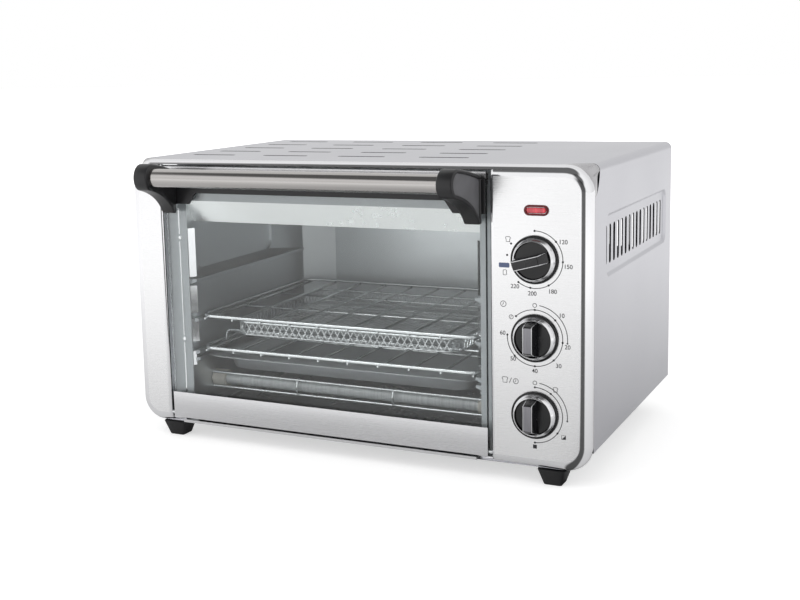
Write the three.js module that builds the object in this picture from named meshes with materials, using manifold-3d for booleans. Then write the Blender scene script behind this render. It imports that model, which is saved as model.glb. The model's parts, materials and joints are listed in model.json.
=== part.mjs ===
// Countertop mini oven: pressed steel front frame, folded cover, glass drop door, wire racks and three knobs.
// Millimetres, +Z up, +X to the oven's right as seen from the front, -Y towards the user.
// Inside the group, y = 0 is the front face and z = 0 is the worktop.
import * as THREE from "three";
import { mergeVertices } from "three/addons/utils/BufferGeometryUtils.js";
import Module from "manifold-3d";

const wasm = await Module();
wasm.setup();

// Overall sizes
const ovenWidth = 430;
const ovenHeight = 258;
const bodyDepth = 275;
const gap = 0.3;
const overrun = 2;
const halfWidth = ovenWidth / 2;

// Front frame
const frameSheet = 1;
const frameBottom = 14;
const frameCornerRadius = 22;
const bullnoseRadius = 9;
const frameFlangeDepth = 24;
const pillarWidth = 34;
const panelWidth = 82;
const topRailHeight = 4.8;
const bottomRailHeight = 4.7;
const coverLap = 0.5;
const returnSheet = 1;
const cornerBlend = { x: 26, y: 21, z: 29 };
const returnDepth = 8;
const returnFootRise = 15.3;

// Cover
const coverSheet = 1;
const coverBottom = 30;
const coverEdgeRadius = 6;
const coverFrontEdge = 9.6;

// Door opening and door
const openingLeft = pillarWidth - halfWidth;
const openingRight = halfWidth - panelWidth;
const openingBottom = frameBottom + bottomRailHeight;
const openingTop = ovenHeight - topRailHeight;
const returnFoot = openingBottom + returnFootRise;
const doorSideGap = 3;
const doorBottomGap = 1.2;
const doorTopGap = 1;
const doorLeft = openingLeft + doorSideGap;
const doorRight = openingRight - doorSideGap;
const doorBottom = openingBottom + doorBottomGap;
const doorTop = openingTop - doorTopGap;
const doorSheet = 0.8;
const glassThickness = 4;
const stripHeight = 24.1;
const stripBackHeight = 16.1;
const stripTop = doorBottom + stripHeight;
const stripBackTop = doorBottom + stripBackHeight;
const capHeight = 5.5;
const capBackHeight = 12;
const railHeight = 17.5;
const railStandOff = 2.6;
const railTabDrop = 10;
const railTabWidth = 12;
const railTabSlope = 7;
const railTop = doorTop - capHeight - gap;
const railBottom = railTop - railHeight;

// Hinge
const hingeRise = 3.7;
const hingeHeight = doorBottom + hingeRise;
const hingePinRadius = 2;
const hingePinGrip = 12;
const hingePinReach = 1.2;
const hingePlateThickness = 2.4;
const hingePlateFront = 2.3;
const hingePlateDepth = 22;
const hingePlateRise = 0.5;
const hingePlateHeight = 41.6;
const hingePlateBottom = doorBottom + hingePlateRise;
const hingePlateTop = hingePlateBottom + hingePlateHeight;

// Handle
const tubeRadius = 7.9;
const tubeDistance = 42;
const tubeDrop = 6.2;
const tubeHeight = doorTop - tubeDrop;
const tubeWall = 1;
const ringRadius = 12;
const bracketWidth = 13.5;
const bracketSplay = 4;
const bracketDrop = 35;
const bracketFootBottom = tubeHeight - bracketDrop;
const bracketInset = 2;
const bracketTopShare = 0.75;
const bracketBellyShare = 1.4;
const bracketFootShare = 0.33;
const bracketReachShare = 0.42;
const socketDepth = 9;
const screwShankRadius = 1.9;
const screwHeadRadius = 4.2;
const screwHeadThickness = 2;
const screwReach = 11;
const screwWall = 0.6;
const screwHoleRadius = screwShankRadius + gap * 2;
const screwHeight = railBottom - railTabDrop + screwHoleRadius + screwWall;

// Cavity
const linerLipLeft = 21;
const linerLipRight = 11;
const rearSpace = 35;
const roofSpace = 20;
const cavityLeft = openingLeft + linerLipLeft;
const cavityRight = openingRight - linerLipRight;
const cavityBack = bodyDepth - rearSpace;
const cavityBottom = 31;
const cavityTop = ovenHeight - roofSpace;
const cavitySheet = 1;
const linerFront = 9;
const linerLipBottom = 3;
const linerFrontBottom = cavityBottom + linerLipBottom;
const chamferWidth = 30;
const chamferDepth = 18;
const lintelDrop = 17;
const lintelHeight = 20;
const lintelTop = cavityTop - lintelDrop;
const lintelBottom = lintelTop - lintelHeight;
const lintelRun = 12;
const floorLedgeSide = 12;
const floorLedgeFront = 14;
const floorLedgeBack = 20;
const runnerReach = 6;
const runnerHeight = 4.6;
const runnerFrontGap = 3;
const runnerBackGap = 26;
const runnerBack = cavityBack - runnerBackGap;
const embossDepth = 2.4;
const embossFront = 24;
const embossLength = 134;
const embossBack = embossFront + embossLength;
const embossRoofGap = 14;
const embossHeight = 68;
const embossTop = cavityTop - embossRoofGap;
const embossBottom = embossTop - embossHeight;
const embossRadius = 10;

// Racks
const frameWireRadius = 1.6;
const crossWireRadius = 1.1;
const lowerRackHeight = 84;
const rackSpacing = 30;
const upperRackHeight = lowerRackHeight + rackSpacing;
const rackLevels = [lowerRackHeight, upperRackHeight];
const spareSpacing = 35;
const spareLevel = upperRackHeight + spareSpacing;
const rackSideGap = 2.2;
const rackFront = 16;
const rackBackGap = 18;
const rackBack = cavityBack - rackBackGap;
const rackCornerRadius = 14;
const crossWireCount = 10;
const crossWireInset = 10;
const crossWireFirst = cavityLeft + crossWireInset;
const crossWireLast = cavityRight - crossWireInset;
const weldDepth = 0.35;
const stiffenerFrontGap = 74;
const stiffenerSpacing = 68;
const firstStiffener = rackFront + stiffenerFrontGap;
const stiffenerPlaces = [firstStiffener, firstStiffener + stiffenerSpacing];
const stiffenerOverhang = 2;

// Mesh basket
const basketSideGap = 29;
const basketFrontGap = 18;
const basketBackGap = 16;
const basketStand = 11;
const basketDepth = 12;
const basketLeft = cavityLeft + basketSideGap;
const basketRight = cavityRight - basketSideGap;
const basketFront = rackFront + basketFrontGap;
const basketBack = rackBack - basketBackGap;
const basketFloorHeight = lowerRackHeight + basketStand;
const basketRimHeight = basketFloorHeight + basketDepth;
const basketSheet = 1;
const basketCornerRadius = 16;
const basketColumns = 10;
const basketRows = 9;
const basketStrand = 2.2;
const basketRimRadius = 1.3;
const legWireRadius = 1.2;
const legBend = 5;
const legInset = 18;

// Baking tray
const traySheet = 1;
const trayRackGap = 7;
const trayRimHeight = lowerRackHeight - trayRackGap;
const trayDepth = 15;
const trayFrontGap = 2;
const trayFront = rackFront + trayFrontGap;
const trayBack = runnerBack;
const trayRimGap = 3;
const trayRimWidth = 12;
const trayWallRun = 8;
const trayCornerRadius = 20;

// Crumb tray and the pan below the cavity
const crumbInset = 13;
const crumbBackGap = 25;
const crumbLipGap = 0.5;
const crumbLipHeight = 2.5;
const crumbLeft = openingLeft + crumbInset;
const crumbRight = openingRight - crumbInset;
const crumbBack = bodyDepth - crumbBackGap;
const crumbLipTop = openingBottom - crumbLipGap;
const crumbBottom = crumbLipTop - crumbLipHeight;
const crumbSheet = 0.8;
const crumbRim = 1.6;
const panSheet = 1;
const panSide = 1.5;
const panClearance = 0.4;
const panBackGap = 8;
const panBottom = crumbBottom - panClearance - panSheet;
const panBack = crumbBack + panBackGap;
const baseClearance = 0.6;
const baseTop = cavityBottom - cavitySheet - baseClearance;
const baseFrontGap = 1;
const baseFront = frameFlangeDepth + baseFrontGap;

// Heating tubes
const quartzRadius = 5.5;
const quartzBore = 4;
const elementFloorGap = 18;
const elementRoofGap = 16;
const elementRearGap = 68;
const lowerElementHeight = cavityBottom + elementFloorGap;
const upperElementHeight = cavityTop - elementRoofGap;
const rearElement = cavityBack - elementRearGap;
const elementPlaces = { lower_front: 46, lower_rear: rearElement, upper_front: 62, upper_rear: rearElement };
const ceramicRadius = 8;
const ceramicLength = 15;
const ceramicSeat = 7;
const ceramicNeckRadius = 5;
const ceramicNeckLength = 8;
const terminalRadius = 1.4;
const terminalLength = 6;
const wallHoleRadius = 5.4;
const guardWireRadius = 1.1;
const guardHoopRadius = 9.6;
const guardHoopShares = [0.33, 0.67];
const guardHoopHalfAngle = Math.PI / 3;
const guardRodAngle = (3 * Math.PI) / 4;

// Fan, motor and heat shield in the right bay
const shieldWallGap = 18;
const shieldX = cavityRight + shieldWallGap;
const shieldSheet = 1;
const shieldFrontGap = 2;
const shieldFront = linerFront + shieldFrontGap;
const shieldFootGap = 0.8;
const shieldBottom = baseTop + shieldFootGap;
const shieldTopGap = 8;
const shieldTop = ovenHeight - shieldTopGap;
const fanBackGap = 90;
const fanFloorGap = 109;
const fanY = cavityBack - fanBackGap;
const fanZ = cavityBottom + fanFloorGap;
const fanRadius = 40;
const fanBladeCount = 6;
const fanBladeWidth = 11;
const fanBladeSheet = 1.4;
const fanDiscSheet = 1.2;
const fanGap = 2.6;
const fanHubRadius = 7;
const fanShaftRadius = 2.5;
const fanShaftLength = 30;
const shaftHoleRadius = 5;
const motorRadius = 27;
const motorLength = 34;
const motorBore = 2.8;
const fanSlotWidth = 4;
const fanSlotLength = 46;
const fanSlotPitch = 11;
const fanSlotCount = 7;

// Indicator lamp
const lampEdgeGap = 43.5;
const lampDrop = 35;
const lampX = halfWidth - lampEdgeGap;
const lampZ = ovenHeight - lampDrop;
const lampWidth = 20;
const lampHeight = 8.4;
const lampHole = 1.6;
const bezelProud = 1.3;
const bezelWall = 1.7;
const bezelDepth = 9;
const lensRecess = 0.4;

// Dials, spread evenly between the lamp and the foot of the control panel
const dialEdgeGap = 45;
const dialX = halfWidth - dialEdgeGap;
const topDialDrop = 38.8;
const lowDialRise = 45.2;
const [topDial, lowDial] = [lampZ - topDialDrop, frameBottom + lowDialRise];
const dialPitch = (topDial - lowDial) / 2;
const dialHeights = { temperature: topDial, timer: topDial - dialPitch, toast: lowDial };
const knobSkirtRadius = 19.2;
const knobFaceRadius = 18;
const knobBack = -1.2;
const knobFace = -13;
const knobBore = 3.3;
const knobSocket = 9;
const shaftRadius = 3;
const shaftHoleInPanel = 4.2;
const shaftTail = 14;
const gripWidth = 7.2;
const gripFoot = 15.2;
const gripHead = 10.2;
const gripFront = -24;
const gripSink = 1;
const ringInner = 14.9;
const ringOuter = 17.1;
const ringProud = 1.2;
const ringSeat = 1.4;
const temperatureRest = 255;
const controlWidth = 42;
const controlSpacing = 20.5;
const controlHeight = dialPitch - controlSpacing;
const controlDepth = 30;
const controlBore = 3.3;
const controlEdge = 3;

// Vents
const topSlotLength = 46;
const topSlotWidth = 5.4;
const firstColumn = 52;
const secondColumn = 128.5;
const thirdColumn = 205.5;
const fourthColumn = 284;
const topSlotColumns = [firstColumn, secondColumn, thirdColumn, fourthColumn].map((x) => x - halfWidth);
const topSlotFirst = 62;
const topSlotPitch = 46;
const topSlotBackGap = 26;
const topSlotRows = 1 + Math.floor((bodyDepth - topSlotFirst - topSlotBackGap) / topSlotPitch);
const sideRecessFront = 43;
const sideRecessBackGap = 21;
const sideRecessDrop = 42;
const sideRecessHeight = 51;
const sideRecessBack = bodyDepth - sideRecessBackGap;
const sideRecessTop = ovenHeight - sideRecessDrop;
const sideRecessBottom = sideRecessTop - sideRecessHeight;
const sideRecessDepth = 2;
const sideRecessRadius = 9;
const sideSlotFrontGap = 6;
const sideSlotBackGap = 15;
const sideSlotEndGap = 9.5;
const sideSlotPitch = 12.6;
const sideSlotWidth = 6;
const sideSlotFirst = sideRecessFront + sideSlotFrontGap;
const sideSlotRun = sideRecessBack - sideSlotFirst - sideSlotBackGap;
const sideSlotCount = 1 + Math.floor(sideSlotRun / sideSlotPitch);
const sideSlotHeight = sideRecessHeight - 2 * sideSlotEndGap;
const sideSlotMiddle = (sideRecessBottom + sideRecessTop) / 2;

// Back panel and cord gland
const backSheet = 1;
const backSlotCount = 6;
const backSlotPitch = 12.6;
const backSlotEdgeGap = 43;
const backSlotDrop = 73;
const backSlotX = halfWidth - backSlotEdgeGap;
const backSlotZ = ovenHeight - backSlotDrop;
const backSlotLength = 60;
const glandRadius = 8;
const glandReach = 9;
const glandBore = 3.6;
const glandEdgeGap = 43;
const glandRise = 32;
const glandX = halfWidth - glandEdgeGap;
const glandZ = coverBottom + glandRise;
const glandHead = 11;
const glandHeadLength = 3;

// Feet
const footEdgeGap = 33;
const rearFootBackGap = 29;
const footX = halfWidth - footEdgeGap;
const frontFootY = 15;
const rearFootY = bodyDepth - rearFootBackGap;
const footTop = 24;
const footToe = 15;
const footRoundShare = 0.125;

// Colours
const steel = { color: 0xc9c9cc, metalness: 0.9, roughness: 0.35 };
const polished = { color: 0xdcdcde, metalness: 1, roughness: 0.15 };
const galvanised = { color: 0x9fa3a3, metalness: 0.8, roughness: 0.5 };
const linerGrey = { color: 0x8f9494, metalness: 0.6, roughness: 0.5 };
const black = { color: 0x1d1d1f, metalness: 0, roughness: 0.5 };
const chrome = { color: 0xe2e2e4, metalness: 1, roughness: 0.1 };
const wireSteel = { color: 0xc0c2c2, metalness: 0.9, roughness: 0.3 };
const enamel = { color: 0x55595a, metalness: 0.1, roughness: 0.35 };
const ceramic = { color: 0xd9d4c8, metalness: 0, roughness: 0.7 };
const quartz = { color: 0xb9bcbc, metalness: 0, roughness: 0.3 };
const clearGlass = { color: 0xdfe6e6, metalness: 0, roughness: 0.05, transparent: true, opacity: 0.3 };
const darkRed = { color: 0x5a0f14, metalness: 0, roughness: 0.3 };
const lampRed = { color: 0xe05060, metalness: 0, roughness: 0.2 };

const oven = new THREE.Group();

// Closed solid from any watertight geometry, turned to face outwards
function solid(geometry) {
  const bare = geometry.clone();
  bare.deleteAttribute("normal");
  bare.deleteAttribute("uv");
  const merged = mergeVertices(bare);
  const place = merged.attributes.position.array;
  const index = Uint32Array.from(merged.index.array);
  const [a, b, c] = [new THREE.Vector3(), new THREE.Vector3(), new THREE.Vector3()];
  let volume = 0;
  for (let k = 0; k < index.length; k += 3) {
    a.fromArray(place, 3 * index[k]);
    b.fromArray(place, 3 * index[k + 1]);
    c.fromArray(place, 3 * index[k + 2]);
    volume += a.dot(b.cross(c));
  }
  if (volume < 0) {
    index.reverse();
  }
  return new wasm.Manifold(new wasm.Mesh({ numProp: 3, vertProperties: place, triVerts: index }));
}

function unite(...solids) {
  return solids.reduce((whole, piece) => whole.add(piece));
}

function cut(whole, ...tools) {
  return tools.reduce((rest, tool) => rest.subtract(tool), whole);
}

function piece(name, shape, look) {
  const { vertProperties, triVerts } = shape.getMesh();
  const geometry = new THREE.BufferGeometry();
  geometry.setAttribute("position", new THREE.BufferAttribute(Float32Array.from(vertProperties), 3));
  geometry.setIndex(new THREE.BufferAttribute(Uint32Array.from(triVerts), 1));
  geometry.computeVertexNormals();
  const mesh = new THREE.Mesh(geometry, new THREE.MeshStandardMaterial(look));
  mesh.name = name;
  oven.add(mesh);
}

// Box between two corners
function block([x0, y0, z0], [x1, y1, z1]) {
  const box = new THREE.BoxGeometry(x1 - x0, y1 - y0, z1 - z0);
  return solid(box.translate((x0 + x1) / 2, (y0 + y1) / 2, (z0 + z1) / 2));
}

const [xAxis, yAxis, zAxis] = [
  new THREE.Vector3(1, 0, 0),
  new THREE.Vector3(0, 1, 0),
  new THREE.Vector3(0, 0, 1),
];
const outlineToYz = new THREE.Matrix4().makeBasis(yAxis, zAxis, xAxis);

// Prisms: an XY outline raised along Z, an XZ outline run along Y, a YZ outline run along X
function prismZ(outline, from, to, curveSegments = 4) {
  const raised = new THREE.ExtrudeGeometry(outline, { depth: to - from, bevelEnabled: false, curveSegments });
  return solid(raised.translate(0, 0, from));
}

function prismY(outline, from, to, curveSegments = 4) {
  const raised = new THREE.ExtrudeGeometry(outline, { depth: to - from, bevelEnabled: false, curveSegments });
  return solid(raised.rotateX(Math.PI / 2).translate(0, to, 0));
}

function prismX(outline, from, to, curveSegments = 4) {
  const raised = new THREE.ExtrudeGeometry(outline, { depth: to - from, bevelEnabled: false, curveSegments });
  return solid(raised.applyMatrix4(outlineToYz).translate(from, 0, 0));
}

function polygon(...points) {
  return new THREE.Shape(points.map(([u, v]) => new THREE.Vector2(u, v)));
}

function roundedRectangle(u0, v0, u1, v1, radius) {
  const outline = new THREE.Shape();
  outline.moveTo(u0 + radius, v0);
  outline.lineTo(u1 - radius, v0);
  outline.absarc(u1 - radius, v0 + radius, radius, -Math.PI / 2, 0);
  outline.lineTo(u1, v1 - radius);
  outline.absarc(u1 - radius, v1 - radius, radius, 0, Math.PI / 2);
  outline.lineTo(u0 + radius, v1);
  outline.absarc(u0 + radius, v1 - radius, radius, Math.PI / 2, Math.PI);
  outline.lineTo(u0, v0 + radius);
  outline.absarc(u0 + radius, v0 + radius, radius, Math.PI, 1.5 * Math.PI);
  return outline;
}

// Slot with round ends, longer along u or along v
function slot(u, v, sizeU, sizeV) {
  const radius = Math.min(sizeU, sizeV) / 2;
  return roundedRectangle(u - sizeU / 2, v - sizeV / 2, u + sizeU / 2, v + sizeV / 2, radius);
}

function disc(radius, segments = 24) {
  const angles = Array.from({ length: segments }, (_, k) => (k / segments) * 2 * Math.PI);
  return new THREE.Shape(angles.map((a) => new THREE.Vector2(radius * Math.cos(a), radius * Math.sin(a))));
}

// Round bars along X and Y
function rodX(radius, from, to, y, z, segments = 12) {
  return prismX(disc(radius, segments), from, to).translate([0, y, z]);
}

function rodY(radius, from, to, x, z, segments = 12) {
  return prismY(disc(radius, segments), from, to).translate([x, 0, z]);
}

// Surface through rings of points, closed at both ends with flat caps
function loft(rings) {
  const count = rings[0].length;
  const faces = [];
  for (let k = 0; k + 1 < rings.length; k += 1) {
    for (let i = 0; i < count; i += 1) {
      const [a, b] = [k * count + i, k * count + ((i + 1) % count)];
      faces.push(a, b, b + count, a, b + count, a + count);
    }
  }
  const last = (rings.length - 1) * count;
  for (let i = 1; i + 1 < count; i += 1) {
    faces.push(0, i + 1, i, last, last + i, last + i + 1);
  }
  const geometry = new THREE.BufferGeometry();
  geometry.setAttribute("position", new THREE.Float32BufferAttribute(rings.flat(2), 3));
  geometry.setIndex(faces);
  return solid(geometry);
}

// Ring of points of a rounded rectangle, each corner with the same number of steps
function roundedRing(u0, v0, u1, v1, radius, steps, toPoint) {
  const centres = [
    [u1 - radius, v1 - radius],
    [u0 + radius, v1 - radius],
    [u0 + radius, v0 + radius],
    [u1 - radius, v0 + radius],
  ];
  return centres.flatMap(([u, v], corner) =>
    Array.from({ length: steps + 1 }, (_, k) => {
      const angle = ((corner + k / steps) * Math.PI) / 2;
      return toPoint(u + radius * Math.cos(angle), v + radius * Math.sin(angle));
    }),
  );
}

// Polyline with each inner corner turned into an arc
function filleted(points, radius, steps, closed) {
  const count = points.length;
  return points.flatMap((corner, k) => {
    if (!closed && (k === 0 || k === count - 1)) {
      return [corner];
    }
    const back = points[(k + count - 1) % count].clone().sub(corner).normalize();
    const ahead = points[(k + 1) % count].clone().sub(corner).normalize();
    const between = back.angleTo(ahead);
    const reach = radius / Math.tan(between / 2);
    const middle = back.clone().add(ahead).normalize();
    const centre = corner.clone().addScaledVector(middle, radius / Math.sin(between / 2));
    const start = corner.clone().addScaledVector(back, reach).sub(centre);
    const end = corner.clone().addScaledVector(ahead, reach).sub(centre);
    const sweep = Math.PI - between;
    return Array.from({ length: steps + 1 }, (_, s) => {
      const [a, b] = [Math.sin(sweep * (1 - s / steps)), Math.sin((sweep * s) / steps)];
      const spoke = start.clone().multiplyScalar(a).addScaledVector(end, b);
      return spoke.divideScalar(Math.sin(sweep)).add(centre);
    });
  });
}

// Round wire bent in one plane: a ring of points square to the wire at each point of its path
function wire(path, normal, radius, segments = 6, closed = false) {
  const count = path.length;
  const rings = path.map((point, k) => {
    const before = closed || k > 0 ? path[(k + count - 1) % count] : point;
    const after = closed || k < count - 1 ? path[(k + 1) % count] : point;
    const side = after.clone().sub(before).normalize().cross(normal);
    return Array.from({ length: segments }, (_, s) => {
      const angle = ((s + 0.5) / segments) * 2 * Math.PI;
      const spoke = side.clone().multiplyScalar(Math.cos(angle)).addScaledVector(normal, Math.sin(angle));
      return point.clone().addScaledVector(spoke, radius).toArray();
    });
  });
  if (!closed) {
    return loft(rings);
  }
  const half = Math.floor(count / 2);
  return unite(loft(rings.slice(0, half + 1)), loft([...rings.slice(half), rings[0]]));
}

function rectanglePath(x0, y0, x1, y1, z) {
  return [
    new THREE.Vector3(x0, y0, z),
    new THREE.Vector3(x1, y0, z),
    new THREE.Vector3(x1, y1, z),
    new THREE.Vector3(x0, y1, z),
  ];
}

// Front frame: bullnosed pressing with a flange that runs back under the cover
const flangeInset = coverSheet + gap;
const frameSkinBack = coverFrontEdge - gap;
const flangeRadius = frameCornerRadius - flangeInset;

function frameBody(inset, back) {
  const steps = 4;
  const bullnose = bullnoseRadius - inset;
  const turn = Math.acos(Math.max(0, 1 - (back - inset) / bullnose));
  const rings = Array.from({ length: steps + 1 }, (_, k) => {
    const angle = (k / steps) * turn;
    const drawIn = inset + bullnose * (1 - Math.sin(angle));
    return frameRing(drawIn, frameCornerRadius - drawIn, inset + bullnose * (1 - Math.cos(angle)));
  });
  const straight = back > bullnoseRadius ? [frameRing(inset, frameCornerRadius - inset, back)] : [];
  return loft([...rings, ...straight]);
}

function frameRing(inset, radius, y) {
  const [left, right] = [inset - halfWidth, halfWidth - inset];
  return roundedRing(left, frameBottom + inset, right, ovenHeight - inset, radius, 5, (x, z) => [x, y, z]);
}

// Ellipsoid round a top corner: the frame fills it and the cover is cut back from it
function cornerEllipsoid(side, grow) {
  const ball = new THREE.SphereGeometry(1, 16, 8).rotateY(Math.PI / 7);
  ball.scale(cornerBlend.x + grow, cornerBlend.y + grow, cornerBlend.z + grow);
  return solid(ball).translate([side * halfWidth, coverFrontEdge - gap, ovenHeight]);
}

function cornerFill(side) {
  const rings = [
    frameRing(coverLap, frameCornerRadius - coverLap, frameSkinBack - coverLap * 2),
    frameRing(0, frameCornerRadius - coverLap, frameSkinBack + coverLap * 4),
    frameRing(0, coverEdgeRadius, frameSkinBack + cornerBlend.y),
  ];
  return loft(rings).intersect(cornerEllipsoid(side, 0));
}

function openingRectangle(front, back) {
  return block([openingLeft, front, openingBottom], [openingRight, back, openingTop]);
}

function frontFrame() {
  const flange = loft([
    frameRing(flangeInset, flangeRadius, frameSkinBack - coverLap),
    frameRing(flangeInset, flangeRadius, frameFlangeDepth),
  ]);
  const skin = unite(
    frameBody(0, frameSkinBack),
    flange,
    cornerFill(-1),
    cornerFill(1),
  );
  const hollowInset = flangeInset + frameSheet;
  const hollow = unite(
    frameBody(frameSheet, frameSkinBack - frameSheet),
    loft([
      frameRing(hollowInset, frameCornerRadius - hollowInset, frameSkinBack - frameSheet * 2),
      frameRing(hollowInset, frameCornerRadius - hollowInset, frameSkinBack + cornerBlend.y + overrun),
    ]),
  );
  const returns = cut(
    block(
      [openingLeft - returnSheet, frameSheet / 2, returnFoot],
      [openingRight + returnSheet, returnDepth, openingTop + returnSheet],
    ),
    openingRectangle(-overrun, returnDepth + overrun),
  );
  const crumbNotch = block(
    [crumbLeft - gap, -overrun, crumbBottom - gap],
    [crumbRight + gap, frameFlangeDepth + overrun, openingBottom + overrun],
  );
  const shaftHoles = Object.values(dialHeights).map((z) =>
    rodY(shaftHoleInPanel, -overrun, overrun * 2, dialX, z, 12),
  );
  const lampOpening = prismY(
    slot(lampX, lampZ, lampWidth - lampHole, lampHeight - lampHole),
    -overrun,
    overrun * 2,
  );
  return cut(
    unite(cut(skin, hollow), returns),
    openingRectangle(-overrun, frameSheet + overrun),
    crumbNotch,
    lampOpening,
    ...shaftHoles,
  );
}

piece("front_frame", frontFrame(), polished);

// Wrap cover: one sheet folded over the top and both sides
function coverOutline(inset) {
  const radius = coverEdgeRadius - inset;
  const [left, right, top] = [inset - halfWidth, halfWidth - inset, ovenHeight - inset];
  const outline = new THREE.Shape();
  outline.moveTo(left, coverBottom - (inset ? overrun : 0));
  outline.lineTo(right, coverBottom - (inset ? overrun : 0));
  outline.lineTo(right, top - radius);
  outline.absarc(right - radius, top - radius, radius, 0, Math.PI / 2);
  outline.lineTo(left + radius, top);
  outline.absarc(left + radius, top - radius, radius, Math.PI / 2, Math.PI);
  return outline;
}

function wrapCover() {
  const shell = cut(
    prismY(coverOutline(0), coverFrontEdge, bodyDepth),
    prismY(coverOutline(coverSheet), coverFrontEdge - overrun, bodyDepth + overrun),
  );
  const corners = [-1, 1].map((side) => cornerEllipsoid(side, gap));
  const topSlots = Array.from({ length: topSlotRows }, (_, row) =>
    topSlotColumns.map((x) => {
      const outline = slot(x, topSlotFirst + row * topSlotPitch, topSlotLength, topSlotWidth);
      return prismZ(outline, ovenHeight - coverSheet - overrun, ovenHeight + overrun, 2);
    }),
  ).flat();
  const recessOutline = roundedRectangle(
    sideRecessFront,
    sideRecessBottom,
    sideRecessBack,
    sideRecessTop,
    sideRecessRadius,
  );
  const innerOutline = roundedRectangle(
    sideRecessFront - coverSheet,
    sideRecessBottom - coverSheet,
    sideRecessBack + coverSheet,
    sideRecessTop + coverSheet,
    sideRecessRadius + coverSheet,
  );
  const dish = prismX(innerOutline, halfWidth - sideRecessDepth - coverSheet, halfWidth - coverSheet / 2, 3);
  const recess = prismX(recessOutline, halfWidth - sideRecessDepth, halfWidth + overrun, 3);
  const sideSlots = Array.from({ length: sideSlotCount }, (_, k) => {
    const outline = slot(sideSlotFirst + k * sideSlotPitch, sideSlotMiddle, sideSlotWidth, sideSlotHeight);
    return prismX(outline, halfWidth - sideRecessDepth - coverSheet - overrun, halfWidth + overrun, 2);
  });
  return cut(unite(cut(shell, ...corners), dish), recess, ...topSlots, ...sideSlots);
}

piece("wrap_cover", wrapCover(), steel);

// Back panel, pushed in between the cover's walls
function backPanel() {
  const inset = coverSheet + gap;
  const sheet = block(
    [inset - halfWidth, bodyDepth - backSheet - gap, coverBottom + gap],
    [halfWidth - inset, bodyDepth - gap, ovenHeight - inset - coverEdgeRadius / 2],
  );
  const [before, behind] = [bodyDepth - overrun * 2, bodyDepth + overrun];
  const slots = Array.from({ length: backSlotCount }, (_, k) => {
    const x = backSlotX + (k - (backSlotCount - 1) / 2) * backSlotPitch;
    return prismY(slot(x, backSlotZ, sideSlotWidth, backSlotLength), before, behind, 2);
  });
  return cut(sheet, rodY(glandRadius + gap, before, behind, glandX, glandZ, 16), ...slots);
}

piece("back_panel", backPanel(), galvanised);

function cordGland() {
  const inner = bodyDepth - backSheet - gap * 2 - glandHeadLength;
  const body = unite(
    rodY(glandRadius, inner + glandHeadLength / 2, bodyDepth + glandReach, glandX, glandZ, 16),
    rodY(glandHead, inner, inner + glandHeadLength, glandX, glandZ, 16),
  );
  return cut(body, rodY(glandBore, inner - overrun, bodyDepth + glandReach + overrun, glandX, glandZ, 12));
}

piece("cord_gland", cordGland(), black);

// Base plate with a sunken pan that the crumb tray slides in
function basePlate() {
  const edge = coverSheet + gap;
  const [panLeft, panRight] = [crumbLeft - panSide, crumbRight + panSide];
  const plate = block(
    [edge - halfWidth, baseFront, baseTop - panSheet],
    [halfWidth - edge, bodyDepth - backSheet - gap * 2, baseTop],
  );
  const pan = block(
    [panLeft, baseFront + panSheet / 2, panBottom],
    [panRight, panBack, baseTop - panSheet / 2],
  );
  const inside = block(
    [panLeft + panSheet, baseFront - overrun, panBottom + panSheet],
    [panRight - panSheet, panBack - panSheet, baseTop + overrun],
  );
  return cut(unite(plate, pan), inside);
}

piece("base_plate", basePlate(), galvanised);

// Crumb tray: flat pan with a folded rim and a front lip
function crumbTray() {
  const tray = block([crumbLeft, 0, crumbBottom], [crumbRight, crumbBack, crumbLipTop]);
  const inside = block(
    [crumbLeft + crumbSheet, crumbSheet, crumbBottom + crumbSheet],
    [crumbRight - crumbSheet, crumbBack - crumbSheet, crumbLipTop + overrun],
  );
  const behindLip = block(
    [crumbLeft - overrun, crumbSheet, crumbBottom + crumbRim],
    [crumbRight + overrun, crumbBack + overrun, crumbLipTop + overrun],
  );
  return cut(tray, inside, behindLip);
}

piece("crumb_tray", crumbTray(), steel);

// Cavity liner: folded walls with pressed shelf runners, chamfered rear corners and a lintel
const runnerLevels = [trayRimHeight - traySheet, ...rackLevels.map((z) => z - frameWireRadius), spareLevel];

function cavityPlan(grow) {
  const [left, right, back] = [cavityLeft - grow, cavityRight + grow, cavityBack + grow];
  const front = linerFront - (grow ? 0 : overrun);
  return polygon(
    [left, front],
    [left, cavityBack - chamferDepth],
    [cavityLeft + chamferWidth, back],
    [cavityRight - chamferWidth, back],
    [right, cavityBack - chamferDepth],
    [right, front],
  );
}

function runner(side, top) {
  const wall = side < 0 ? cavityLeft : cavityRight;
  const [front, back] = [linerFront + runnerFrontGap, runnerBack];
  const outline = polygon(
    [wall + (side * cavitySheet) / 2, top - runnerHeight],
    [wall - side * runnerReach, top - runnerHeight / 2],
    [wall - side * runnerReach, top],
    [wall + (side * cavitySheet) / 2, top],
  );
  return prismY(outline, front, back);
}

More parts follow.
